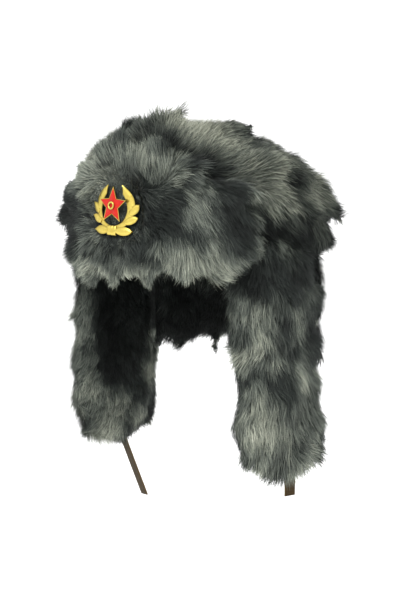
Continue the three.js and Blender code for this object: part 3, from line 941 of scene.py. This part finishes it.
@dataclass
class PlushCoat:
    """The fur of one piece of the hat, in the form of its solid.

    `swirls` turn the pile and `clouds` vary its tone, each by a strength at a size in metres.
    """

    region: Region
    flow: Callable[[Vector], Vector]
    patches: tuple[Patch, ...] = ()
    combs: tuple[Comb, ...] = ()
    trims: tuple[Trim, ...] = ()
    reach: float = mm(12)
    inset: float = mm(3.5)
    voxel: float = mm(4)
    smoothing: int = 12
    seam: float = mm(5)
    seam_lap: float = mm(1)
    least_room: float = mm(3)
    full_room: float = mm(16)
    most_room: float = mm(30)
    strands: int = 30000
    layers: int = 1
    lock: float = mm(5.5)
    width: float = mm(0.5)
    gather: float = 0.4
    rise: float = 0.36
    stray: float = 0.38
    swirls: tuple[tuple[float, float], ...] = ((0.8, mm(38)), (0.6, mm(13)))
    comb_pull: float = 2.5
    base_shade: float = 0.45
    clouds: tuple[tuple[float, float], ...] = ((0.6, mm(36)), (0.28, mm(10)))
    patch_strength: float = 0.9
    inner_shade: float = 0.5
    inner_trim: float = 0.45
    seed: int = 1
    slot: str = "grey_fur"
    skin: Object = field(init=False)

    def shape(self) -> Object:
        """Round off the facets of the solid's form.

        Returns:
            The skin.
        """
        name = self.region.value + "_skin"
        obj = merged_copy(self.region.value, name)
        remesh = obj.modifiers.new("remesh", "REMESH")
        remesh.mode = "VOXEL"
        remesh.voxel_size = self.voxel
        smooth = obj.modifiers.new("smooth", "SMOOTH")
        smooth.iterations = self.smoothing
        skin = plain_mesh(obj, name)
        keep_largest_part(skin)
        return skin

    def make_skin(self, others: BVHTree, soft: BVHTree) -> None:
        """Shape the skin, draw it in by the pile's depth and write its pile on it.

        Args:
            others: the hat's other solids, which leave no room for pile.
            soft: those of them that are fabric. Where they touch, the skins meet.
        """
        self.skin = self.shape()
        vertices = self.skin.data.vertices
        spots = [(vertex.co.copy(), vertex.normal.copy()) for vertex in vertices]
        room = [self._room(others, *spot) for spot in spots]
        for vertex, (place, up), free in zip(vertices, spots, room):
            gap = self._room(soft, place, up)
            vertex.co += up * (gap + self.seam_lap if gap < self.seam else -min(self.inset, 0.5 * free))
        shades = [self._shade(*spot) for spot in spots]
        write_attribute(self.skin, "lie", [self._lie(*spot) for spot in spots])
        write_attribute(self.skin, "reach", [
            self.reach * self._cut(*spot) * (0.5 + 0.5 * min(free / self.full_room, 1))
            for spot, free in zip(spots, room)
        ])
        write_attribute(self.skin, "shade", shades)
        write_attribute(self.skin, "crop", [float(free > self.least_room) for free in room])
        write_attribute(self.skin, "tone", shades)
        # The skin reads as lying near a root, so the plush paints it dark: painted shade under the pile
        write_attribute(self.skin, "along", [0.1] * len(spots))

    def _room(self, others: BVHTree, place: Vector, up: Vector) -> float:
        """Return the free way out of the skin at a point, up to the most that matters."""
        hit = others.ray_cast(place, up, self.most_room)
        return self.most_room if hit[3] is None else hit[3]

    def _lie(self, place: Vector, up: Vector) -> Vector:
        """Return the level direction in which the pile lies at a point.

        Args:
            place: the point.
            up: the way out of the skin there.

        Returns:
            The direction, one unit long.
        """
        lie = self.flow(place).normalized()
        for strength, size in self.swirls:
            lie += strength * wander(place, size)
        for comb in self.combs:
            lie += Vector(comb.toward) * self.comb_pull * comb.near(place)
        lie -= up * lie.dot(up)
        return lie.normalized()

    def _inner(self, up: Vector) -> float:
        """Return how far a face that looks along `up` lies to the head, from 0 to 1."""
        inwards = {Region.LEFT_EAR: -up.x, Region.RIGHT_EAR: up.x, Region.NECK: -up.y}
        return max(0.0, inwards.get(self.region, 0.0))

    def _cut(self, place: Vector, up: Vector) -> float:
        """Return the pile's length at a point, as a share of the full one.

        Args:
            place: the point.
            up: the way out of the skin there.

        Returns:
            The share.
        """
        share = 1 - self.inner_trim * self._inner(up)
        for trim in self.trims:
            share *= 1 + (trim.share - 1) * min(1.0, 2 * trim.near(place))
        return share

    def _shade(self, place: Vector, up: Vector) -> float:
        """Return the tone at a point: the dye's, with the painted light and shade of the patches.

        Args:
            place: the point.
            up: the way out of the skin there.

        Returns:
            The tone, from 0, dark, to 1, pale.
        """
        (broad, broad_size), (fine, fine_size) = self.clouds
        shift = Vector((self.seed, 0, 0))
        shade = self.base_shade + broad * noise.noise(place * (1 / broad_size) + shift)
        shade += fine * noise.noise(place * (1 / fine_size)) - self.inner_shade * self._inner(up)
        for patch in self.patches:
            shade += (patch.shade - shade) * (self.patch_strength * patch.near(place))
        return min(1.0, max(0.0, shade))

    def cover(self, tree: NodeTree, strand: Object, material: Material) -> None:
        """Plant the strands, in as many pieces as keep each one small.

        Args:
            tree: the nodes that plant them.
            strand: the blade that they repeat.
            material: the plush.
        """
        mesh = self.skin.data
        crops = np.zeros(len(mesh.vertices))
        mesh.attributes["crop"].data.foreach_get("value", crops)
        area = sum(p.area * crops[list(p.vertices)].mean() for p in mesh.polygons)
        for layer in range(self.layers):
            name = f"{self.region.value}_guard_hair_{layer}" if layer else f"{self.region.value}_pile"
            piece = run_nodes(linked(name + "_sown", mesh.copy()), tree, {
                "Strand": strand, "Density": self.strands / self.layers / area,
                "Lock Density": 1 / self.lock ** 2, "Gather": self.gather, "Rise": self.rise,
                "Stray": self.stray, "Width": self.width, "Keep Skin": layer == 0,
                "Seed": self.seed, "Material": material,
            }, name)
            finish_piece(piece, self.slot, self.region.value)
        bpy.data.objects.remove(self.skin)


@dataclass
class LiningCoat(PlushCoat):
    """The open dome of black plush that takes the head."""

    head_half_width: float = mm(81)
    head_half_length: float = mm(98)
    head_depth: float = mm(104)
    squareness: float = 0.74
    wall: float = mm(3)
    sides: int = 72
    rows: int = 18
    base_shade: float = 0.04
    covered_cut: float = 0.05
    slot: str = "black_pile"

    def _head_point(self, turn: float, up: float, grow: float) -> Point:
        """Find a point on the dome.

        Args:
            turn: the angle round it from the brow, in radians.
            up: the angle up from its rim.
            grow: how far the dome is grown outwards.

        Returns:
            The point, in metres.
        """
        level = math.cos(up) ** self.squareness
        return (
            (self.head_half_width + grow) * math.sin(turn) * level,
            -(self.head_half_length + grow) * math.cos(turn) * level,
            (self.head_depth + grow) * math.sin(up) ** self.squareness,
        )

    def shape(self) -> Object:
        """Loft the dome's wall, from its top inside, round the rim and up the outside.

        Returns:
            The skin.
        """
        ups = [0.5 * math.pi * i / self.rows for i in range(self.rows)]
        turns = [2 * math.pi * i / self.sides for i in range(self.sides)]
        levels = [(up, 0.0) for up in reversed(ups)] + [(up, self.wall) for up in ups]
        points = [self._head_point(turn, up, grow) for up, grow in levels for turn in turns]
        return new_object("lining_skin", *capped_loft(points, self.sides, (
            (0.0, 0.0, self.head_depth), (0.0, 0.0, self.head_depth + self.wall),
        )))

    def _shade(self, place: Vector, up: Vector) -> float:
        """Return the tone of black plush."""
        return self.base_shade * (1 + noise.noise(place * (1 / mm(20))))

    def _cut(self, place: Vector, up: Vector) -> float:
        """Return the full length inside the dome, and hardly any on its covered side."""
        outwards = place - Vector((0, 0, self.head_depth / 3))
        return 1.0 if up.dot(outwards) < 0 else self.covered_cut


@dataclass
class Tie:
    """A flat strap out of an ear flap's lower end. Its route is in millimetres."""

    name: str
    node: str
    face_turn: float
    route: tuple[Point, ...]
    is_cord: bool
    width: float = mm(11.5)
    thick: float = mm(1.5)
    stations: int = 28
    rounding: float = 0.45
    around: int = 16

    def _line(self) -> list[Vector]:
        """Round the route off.

        Returns:
            Points on the strap's middle line, in metres.
        """
        knots = [mm_point(p) for p in self.route]
        knots = [2 * knots[0] - knots[1], *knots, 2 * knots[-1] - knots[-2]]
        line = []
        spans = len(knots) - 3
        for i in range(self.stations + 1):
            at = spans * i / self.stations
            k = min(int(at), spans - 1)
            t = at - k
            a, b, c, d = knots[k:k + 4]
            line.append(0.5 * (2 * b + (c - a) * t + (2 * a - 5 * b + 4 * c - d) * t * t
                               + (3 * b - a - 3 * c + d) * t ** 3))
        return line

    def build(self, material: Material) -> None:
        """Loft the strap along its line and dress it.

        Args:
            material: the strap's leather.
        """
        line = self._line()
        turn = math.radians(self.face_turn)
        face = Vector((math.copysign(math.cos(turn), line[0].x), -math.sin(turn), 0))
        points, across = [], []
        for i, place in enumerate(line):
            along = (line[min(i + 1, len(line) - 1)] - line[max(i - 1, 0)]).normalized()
            wide = along.cross(face).normalized()
            deep = wide.cross(along).normalized()
            for k in range(self.around):
                roll = 2 * math.pi * k / self.around
                w, t = soften(math.cos(roll), self.rounding), soften(math.sin(roll), self.rounding)
                points.append(place + wide * w * self.width / 2 + deep * t * self.thick / 2)
                across.append(w)
        obj = new_object(self.name, *capped_loft(points, self.around, (line[0], line[-1])))
        face_outwards(obj)
        shade_smooth(obj)
        write_attribute(obj, "across", [*across, 0.0, 0.0])
        obj.data.materials.append(material)
        finish_piece(obj, "strap", self.node)


@dataclass(frozen=True)
class LeafTree:
    """Geometry nodes that set leaves of one pattern out at marked points of the badge.

    Each point brings `lie`, an angle, and `size`, a length, width and height.
    """

    name: str = "badge_leaves"

    def build(self) -> NodeTree:
        """Build the tree, with inputs for the leaf and its material.

        Returns:
            The tree.
        """
        tree, given = new_tree(self.name, {"Leaf": "Object", "Material": "Material"})
        lie = add_node(tree, ATTRIBUTE, {"Name": "lie"}, data_type="FLOAT")
        size = add_node(tree, ATTRIBUTE, {"Name": "size"}, data_type="FLOAT_VECTOR")
        turned = add_node(tree, "ShaderNodeCombineXYZ", {"Z": out(lie)})
        leaf = add_node(tree, "GeometryNodeObjectInfo", {"Object": given["Leaf"]})
        sown = add_node(tree, "GeometryNodeInstanceOnPoints", {
            "Points": given["Geometry"], "Instance": out(leaf, "Geometry"),
            "Rotation": out(turned), "Scale": out(size),
        })
        real = add_node(tree, "GeometryNodeRealizeInstances", {"Geometry": out(sown)})
        dressed = add_node(tree, "GeometryNodeSetMaterial", {
            "Geometry": out(real), "Material": given["Material"],
        })
        add_node(tree, "NodeGroupOutput", {0: out(dressed)})
        return tree


# Half of the wreath: an angle from its top in degrees, and the inner and the outer edge there,
# as shares of its oval
WREATH_ARM = (
    (18, 1.17, 1.2), (30, 0.84, 1.15), (57, 0.71, 1.09), (75, 0.68, 1.02),
    (110, 0.66, 0.93), (141, 0.70, 0.92), (176, 0.72, 0.95),
)
# An arm's section: a share of its width from the inner edge, and a height in millimetres
ARM_SECTION = ((1, 0), (1, 0.5), (0.75, 1.0), (0.5, 1.3), (0.25, 1.0), (0, 0.5), (0, 0))
# The leaves beside an arm: an angle from its top and one out from it in degrees, then the
# length, the width and the lift in millimetres
ARM_LEAVES = ((101, 57, 12.5, 7, 0.6), (132, 64, 14, 6.6, 0.9))
# The knot's section: a share of its half height, and one of its thickness
KNOT_SECTION = ((-1, 0.0), (-1, 0.6), (-0.8, 0.9), (0.8, 0.9), (1, 0.6), (1, 0.0))


@dataclass
class Badge:
    """The badge on the brow, drawn in millimetres in a plane of its own.

    x runs to the wearer's left, y up and z out of its face. The wreath bends back at its
    sides, and all of it leans back with the fur.
    """

    place: Point = (4, -121, 60)
    lean_back: float = 6
    bend: float = 0.006
    half_width: float = 22.5
    half_height: float = 19
    arm_steps: int = 96
    leaflet: float = 34.0
    rib_depth: float = 0.12
    leaf_rows: int = 16
    leaf_seat: float = 0.82
    leaf_height: float = 1.1
    bow_leaf: Point = (18.5, 7.6, 1.4)
    bow_start: Point = (4, -17.6, 0.9)
    knot_half_width: float = 5.2
    knot_half_height: float = 4.2
    knot_columns: int = 24
    knot_ribs: int = 3
    star_outer: float = 16.6
    star_inner: float = 7.47
    star_up: float = 3.8
    star_lift: float = 1.5
    star_edge: float = 0.9
    star_ridge: float = 2.0
    rim: float = 0.7
    boss_outer: float = 3.6
    boss_inner: float = 2.0
    boss_thick: float = 1.1
    boss_sides: int = 48
    boss_around: int = 12

    def build(self, gilt: Material, enamel: Material) -> None:
        """Build the badge's pieces and dress them.

        Args:
            gilt: the brass of the wreath, the star's rim and the ring.
            enamel: the star's red face.
        """
        self._wreath(gilt)
        self._star(gilt, enamel)
        self._boss(gilt)
        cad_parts["badge_pin"].data.materials.clear()
        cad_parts["badge_pin"].data.materials.append(gilt)

    def _on_brow(self, obj: Object, bend: float = 0.0) -> None:
        """Stand a flat piece up on the brow, and mark its slopes for the gilt's painted shade.

        Args:
            obj: the piece, in the badge's own plane.
            bend: how far it bends back, for each square millimetre from its middle.
        """
        write_attribute(obj, "slope", [1 - max(0.0, v.normal.z) for v in obj.data.vertices])
        for vertex in obj.data.vertices:
            vertex.co.z -= bend * vertex.co.x ** 2
        stand = Matrix.Rotation(math.pi / 2 - math.radians(self.lean_back), 4, "X")
        place = Matrix.Translation(mm_point(self.place))
        obj.data.transform(place @ stand @ Matrix.Scale(0.001, 4))
        obj.data.update()

    def _wreath_place(self, turn: float, share: float) -> tuple[float, float]:
        """Return a place on the wreath's oval, at an angle from its top in degrees."""
        a = math.radians(turn)
        return self.half_width * share * math.sin(a), self.half_height * share * math.cos(a)

    def _arm(self, side: int) -> Object:
        """Build one arm of the wreath: a band of long leaflets, each over the next, to a point.

        Args:
            side: 1 for the wearer's left, and -1 for the right.

        Returns:
            The arm.
        """
        turns, inners, outers = zip(*WREATH_ARM)
        points = []
        for i, turn in enumerate(np.linspace(turns[0], turns[-1], self.arm_steps + 1)):
            inner, outer = np.interp(turn, turns, inners), np.interp(turn, turns, outers)
            rib = 0.0 if i % 4 else self.rib_depth
            lap = 0.7 + 0.3 * (((turn - turns[0]) / self.leaflet) % 1) - rib
            for share, height in ARM_SECTION:
                x, y = self._wreath_place(side * turn, inner + (outer - inner) * share)
                points.append((x, y, height * (lap if 0 < share < 1 else 1.0)))
        ends = points[0], points[-1]
        obj = new_object("wreath_arm", *capped_loft(points, len(ARM_SECTION), ends))
        face_outwards(obj)
        return obj

    def _leaf(self) -> Object:
        """Build the wreath's leaf, one unit long and wide, with a raised rib and veins.

        Returns:
            The leaf.
        """
        points = []
        for i in range(self.leaf_rows + 1):
            along = i / self.leaf_rows
            half = max(0.02, 0.5 * math.sin(math.pi * (0.12 + 0.88 * along) ** 1.05) ** 0.75)
            vein = 0.85 if i % 2 else 0.55
            section = ((-1, 0), (-1, 0.25), (-0.5, vein), (0, 1), (0.5, vein), (1, 0.25), (1, 0))
            points.extend((along, share * half, height) for share, height in section)
        obj = new_object("leaf", *capped_loft(points, len(section), ((0, 0, 0.3), (1, 0, 0.3))))
        face_outwards(obj)
        return obj

    def _leaves(self, gilt: Material) -> Object:
        """Set out the leaves beside the arms and the broad ones over the bow.

        Args:
            gilt: their brass.

        Returns:
            The leaves as one object.
        """
        points, lies, sizes = [], [], []
        for side in (1, -1):
            for turn, splay, length, width, lift in ARM_LEAVES:
                lie = math.radians(90 - turn + splay)
                points.append((*self._wreath_place(side * turn, self.leaf_seat), lift))
                lies.append(lie if side > 0 else math.pi - lie)
                sizes.append((length, width, self.leaf_height))
            across, up, lift = self.bow_start
            points.append((side * across, up, lift))
            lies.append(0.0 if side > 0 else math.pi)
            sizes.append(self.bow_leaf)
        marks = new_object("leaf_marks", points, [])
        write_attribute(marks, "lie", lies)
        write_attribute(marks, "size", sizes)
        leaf = self._leaf()
        inputs = {"Leaf": leaf, "Material": gilt}
        leaves = run_nodes(marks, LeafTree().build(), inputs, "wreath_leaves")
        bpy.data.objects.remove(leaf)
        return leaves

    def _knot(self) -> Object:
        """Build the bow's knot, a short ribbed roll over the leaves' meeting.

        Returns:
            The knot.
        """
        middle, points = self.bow_start[1], []
        for i in range(self.knot_columns + 1):
            x = self.knot_half_width * (2 * i / self.knot_columns - 1)
            swell = 2.0 + 0.45 * abs(math.sin(math.pi * self.knot_ribs * i / self.knot_columns))
            for y, height in KNOT_SECTION:
                points.append((x, y * self.knot_half_height + middle, height * swell))
        ends = tuple((side * self.knot_half_width, middle, 0.9) for side in (-1, 1))
        obj = new_object("knot", *capped_loft(points, len(KNOT_SECTION), ends))
        face_outwards(obj)
        return obj

    def _wreath(self, gilt: Material) -> None:
        """Join the arms, the leaves and the knot into the wreath.

        Args:
            gilt: its brass.
        """
        obj = joined([self._leaves(gilt), self._arm(1), self._arm(-1), self._knot()], "badge_laurel")
        obj.data.materials.append(gilt)
        self._on_brow(obj, self.bend)
        face_outwards(obj)
        shade_smooth(obj, 50)
        finish_piece(obj, "gilt", "badge_wreath")

    def _star_part(self, name: str, loops: Sequence[Point], peak: float, material: Material,
                   slot: str) -> None:
        """Build one part of the star through star-shaped loops.

        Args:
            name: the piece's name.
            loops: for each loop the radius of its tips, that of its notches, and its height.
            peak: the height of its middle in front.
            material: its material.
            slot: its material slot.
        """
        points = []
        for outer, inner, height in loops:
            for i in range(10):
                radius, turn = (inner if i % 2 else outer), math.radians(90 + 36 * i)
                points.append((radius * math.cos(turn), self.star_up + radius * math.sin(turn), height))
        ends = (0, self.star_up, loops[0][2]), (0, self.star_up, peak)
        obj = new_object(name, *capped_loft(points, 10, ends))
        face_outwards(obj)
        self._on_brow(obj)
        obj.data.materials.append(material)
        finish_piece(obj, slot, "badge_star")

    def _star(self, gilt: Material, enamel: Material) -> None:
        """Build the star: a gilt plate with a raised rim, and red enamel inside it.

        Args:
            gilt: the plate's brass.
            enamel: the red face.
        """
        outer, inner = self.star_outer, self.star_inner
        in_outer, in_inner = outer - 2.4 * self.rim, inner - 0.9 * self.rim
        low, high = self.star_lift, self.star_lift + self.star_edge
        side, crest, floor = high - 0.15, high + 0.1, high - 0.2
        self._star_part("badge_star_plate", (
            (outer, inner, low), (outer, inner, side), (outer - 0.35, inner - 0.15, crest),
            (in_outer + 0.4, in_inner + 0.15, crest), (in_outer, in_inner, floor),
        ), floor, gilt, "gilt")
        self._star_part("badge_star_enamel", (
            (in_outer - 0.05, in_inner - 0.02, side), (in_outer - 0.1, in_inner - 0.05, high + 0.05),
        ), self.star_lift + self.star_ridge, enamel, "red_enamel")

    def _boss(self, gilt: Material) -> None:
        """Build the plain ring on the star's middle.

        Args:
            gilt: its brass.
        """
        fall = (self.star_ridge - self.star_edge) * self.boss_inner / self.star_outer
        low = self.star_lift + self.star_ridge - fall
        middle = 0.5 * (self.boss_outer + self.boss_inner)
        half = 0.5 * (self.boss_outer - self.boss_inner)
        sides, around = self.boss_sides, self.boss_around
        points, faces = [], []
        for i in range(sides):
            turn = 2 * math.pi * i / sides
            here, there = i * around, ((i + 1) % sides) * around
            for k in range(around):
                roll, following = 2 * math.pi * k / around, (k + 1) % around
                radius = middle + half * math.cos(roll)
                height = low + 0.55 * self.boss_thick * (1 + math.sin(roll))
                points.append((radius * math.cos(turn), self.star_up + radius * math.sin(turn), height))
                faces.append((here + k, there + k, there + following, here + following))
        obj = new_object("badge_ring", points, faces)
        face_outwards(obj)
        shade_smooth(obj, 60)
        self._on_brow(obj)
        obj.data.materials.append(gilt)
        finish_piece(obj, "gilt", "badge_boss")


def crown_flow(place: Vector) -> Vector:
    """Return how the crown's pile runs: out from a whorl near the front, and down."""
    return place - Vector((0, -0.070, 0.132)) + Vector((0, 0.030, -0.020))


def front_flow(place: Vector) -> Vector:
    """Return how the front flap's pile runs: out from round the badge, and a little down."""
    away = place - Vector((0.004, -0.121, 0.060))
    return Vector((away.x, away.y, away.z * 0.6)) + Vector((0, 0, -0.012))


def inward_flow(place: Vector) -> Vector:
    """Return how the lining's pile runs: down to the rim."""
    return Vector((place.x, place.y, -0.2))


def hanging_flow(middle: float) -> Callable[[Vector], Vector]:
    """Return how a hanging flap's pile runs: down, and fanned out from its middle line."""
    return lambda place: Vector((0, (place.y - middle) * 0.5, -0.060))


@dataclass(frozen=True)
class Lamp:
    """A round soft lamp that looks at the hat from an angle round it and one up."""

    name: str
    azimuth: float
    elevation: float
    far: float
    size: float
    power: float


@dataclass
class Studio:
    """A white sweep, soft lamps and the camera. The picture's height is in pixels."""

    azimuth: float = 40.0
    elevation: float = 9.5
    distance: float = 1.15
    target: Point = (0.0, 0.0, -0.035)
    pixels_per_metre: float = 1050.0
    frame_height: int = 601
    sensor: float = 36.0
    lamps: tuple[Lamp, ...] = (
        Lamp("key_lamp", 10, 48, 1.6, 1.2, 22),
        Lamp("fill_lamp", 85, 12, 1.8, 1.4, 9),
        Lamp("back_lamp", 210, 45, 1.8, 1.2, 12),
    )
    daylight: float = 1.08
    paper: str = "fafafa"
    floor: float = -0.42
    floor_front: float = -3.0
    floor_back: float = 1.5
    paper_bend: float = 1.0
    paper_top: float = 4.0
    paper_half_width: float = 4.0
    bend_steps: int = 12

    def build(self) -> None:
        """Set the camera, the lamps and the sweep."""
        self._camera()
        self._lamps()
        self._sweep()

    def _look(self, obj: Object, azimuth: float, elevation: float, far: float) -> None:
        """Put an object round the hat, and turn it to the hat.

        Args:
            obj: the object.
            azimuth: how far it is round the hat from its front, in degrees.
            elevation: how far it is up, in degrees.
            far: its distance.
        """
        a, e = math.radians(azimuth), math.radians(elevation)
        toward = Vector((math.sin(a) * math.cos(e), -math.cos(a) * math.cos(e), math.sin(e)))
        obj.location = Vector(self.target) + toward * far
        turn = (obj.location - Vector(self.target)).to_track_quat("Z", "Y")
        obj.rotation_euler = turn.to_euler()

    def _camera(self) -> None:
        """Set the camera at the photo's angle, with the photo's scale at the hat."""
        data = bpy.data.cameras.new("camera")
        data.sensor_fit = "VERTICAL"
        data.sensor_height = self.sensor
        data.lens = self.pixels_per_metre * self.distance * self.sensor / self.frame_height
        camera = linked("camera", data)
        self._look(camera, self.azimuth, self.elevation, self.distance)
        bpy.context.scene.camera = camera

    def _lamps(self) -> None:
        """Set the lamps and the white light all round."""
        for lamp in self.lamps:
            data = bpy.data.lights.new(lamp.name, "AREA")
            data.shape = "DISK"
            data.size = lamp.size
            data.energy = lamp.power
            self._look(linked(lamp.name, data), lamp.azimuth, lamp.elevation, lamp.far)
        world = bpy.data.worlds.new("studio")
        bpy.context.scene.world = world
        world.use_nodes = True
        light = world.node_tree.nodes["Background"]
        set_inputs(world.node_tree, light, {"Color": (1, 1, 1, 1), "Strength": self.daylight})
        bpy.context.scene.view_settings.view_transform = "Standard"

    def _sweep(self) -> None:
        """Lay white paper under the hat, and bend it up behind."""
        arc = [0.5 * math.pi * i / self.bend_steps for i in range(self.bend_steps + 1)]
        bend = [(
            self.floor_back + self.paper_bend * math.sin(a),
            self.floor + self.paper_bend * (1 - math.cos(a)),
        ) for a in arc]
        wall = self.floor_back + self.paper_bend
        profile = [(self.floor_front, self.floor), *bend, (wall, self.paper_top)]
        turn = Matrix.Rotation(math.radians(self.azimuth), 4, "Z")
        sides = (-self.paper_half_width, self.paper_half_width)
        points = [turn @ Vector((side, y, z)) for y, z in profile for side in sides]
        faces = [(2 * i, 2 * i + 1, 2 * i + 3, 2 * i + 2) for i in range(len(profile) - 1)]
        obj = new_object("sweep", points, faces)
        material = bpy.data.materials.new("white_paper")
        material.use_nodes = True
        set_inputs(material.node_tree, material.node_tree.nodes["Principled BSDF"], {
            "Base Color": linear(self.paper), "Roughness": 0.9,
        })
        obj.data.materials.append(material)


def tree_of(nodes: Iterable[str]) -> BVHTree:
    """Build one search tree over several solids of the frame.

    Args:
        nodes: the solids' names.

    Returns:
        The tree.
    """
    points: list[Vector] = []
    faces: list[Face] = []
    for node in sorted(nodes):
        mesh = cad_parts[node].data
        base = len(points)
        points.extend(v.co.copy() for v in mesh.vertices)
        faces.extend(tuple(base + i for i in p.vertices) for p in mesh.polygons)
    return BVHTree.FromPolygons(points, faces)


# The straps, from inside the fur out
TIES = (
    Tie("strap_left", "tie_left", 22, ((97, 14, -174), (97, 14, -193), (97, 14, -211)),
        is_cord=False),
    Tie("strap_right", "tie_right", 78, ((-103, -6, -174), (-101, -1, -191), (-91, 18, -251)),
        is_cord=True),
)

# The coats of fur, of as many strands each as its size and its place in the picture need
COATS = (
    LiningCoat(Region.LINING, inward_flow, strands=22000, reach=mm(7), inset=0.0, seed=2),
    PlushCoat(Region.CROWN, crown_flow, CROWN_PATCHES, CROWN_COMBS, CROWN_TRIMS,
              strands=152000, layers=2, width=mm(0.54), seed=3),
    PlushCoat(Region.FRONT, front_flow, FRONT_PATCHES, FRONT_COMBS, FRONT_TRIMS,
              strands=84000, seed=5),
    PlushCoat(Region.LEFT_EAR, hanging_flow(mm(-10)), LEFT_EAR_PATCHES, trims=LEFT_EAR_TRIMS,
              smoothing=45, strands=72000, seed=7),
    PlushCoat(Region.RIGHT_EAR, hanging_flow(mm(-10)), RIGHT_EAR_PATCHES, trims=RIGHT_EAR_TRIMS,
              smoothing=70, strands=68000, seed=9),
    PlushCoat(Region.NECK, hanging_flow(mm(112)), NECK_PATCHES, trims=NECK_TRIMS,
              smoothing=30, strands=34000, seed=11),
)


def main() -> None:
    """Build the hat, piece by piece."""
    logging.basicConfig(level=logging.INFO, format="%(name)s: %(message)s")
    Studio().build()
    strap = StrapFinish().material()
    for tie in TIES:
        tie.build(strap)
    plush = PlushFinish().material()
    tree = StrandTree().build()
    strand = Strand().build()
    soft = {region.value for region in Region}
    for coat in COATS:
        others = {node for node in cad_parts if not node.startswith("badge")} - {coat.region.value}
        coat.make_skin(tree_of(others), tree_of(others & soft))
        coat.cover(tree, strand, plush)
    bpy.data.objects.remove(strand)
    Badge().build(GiltFinish().material(), EnamelFinish().material())


if __name__ == "__main__":
    main()
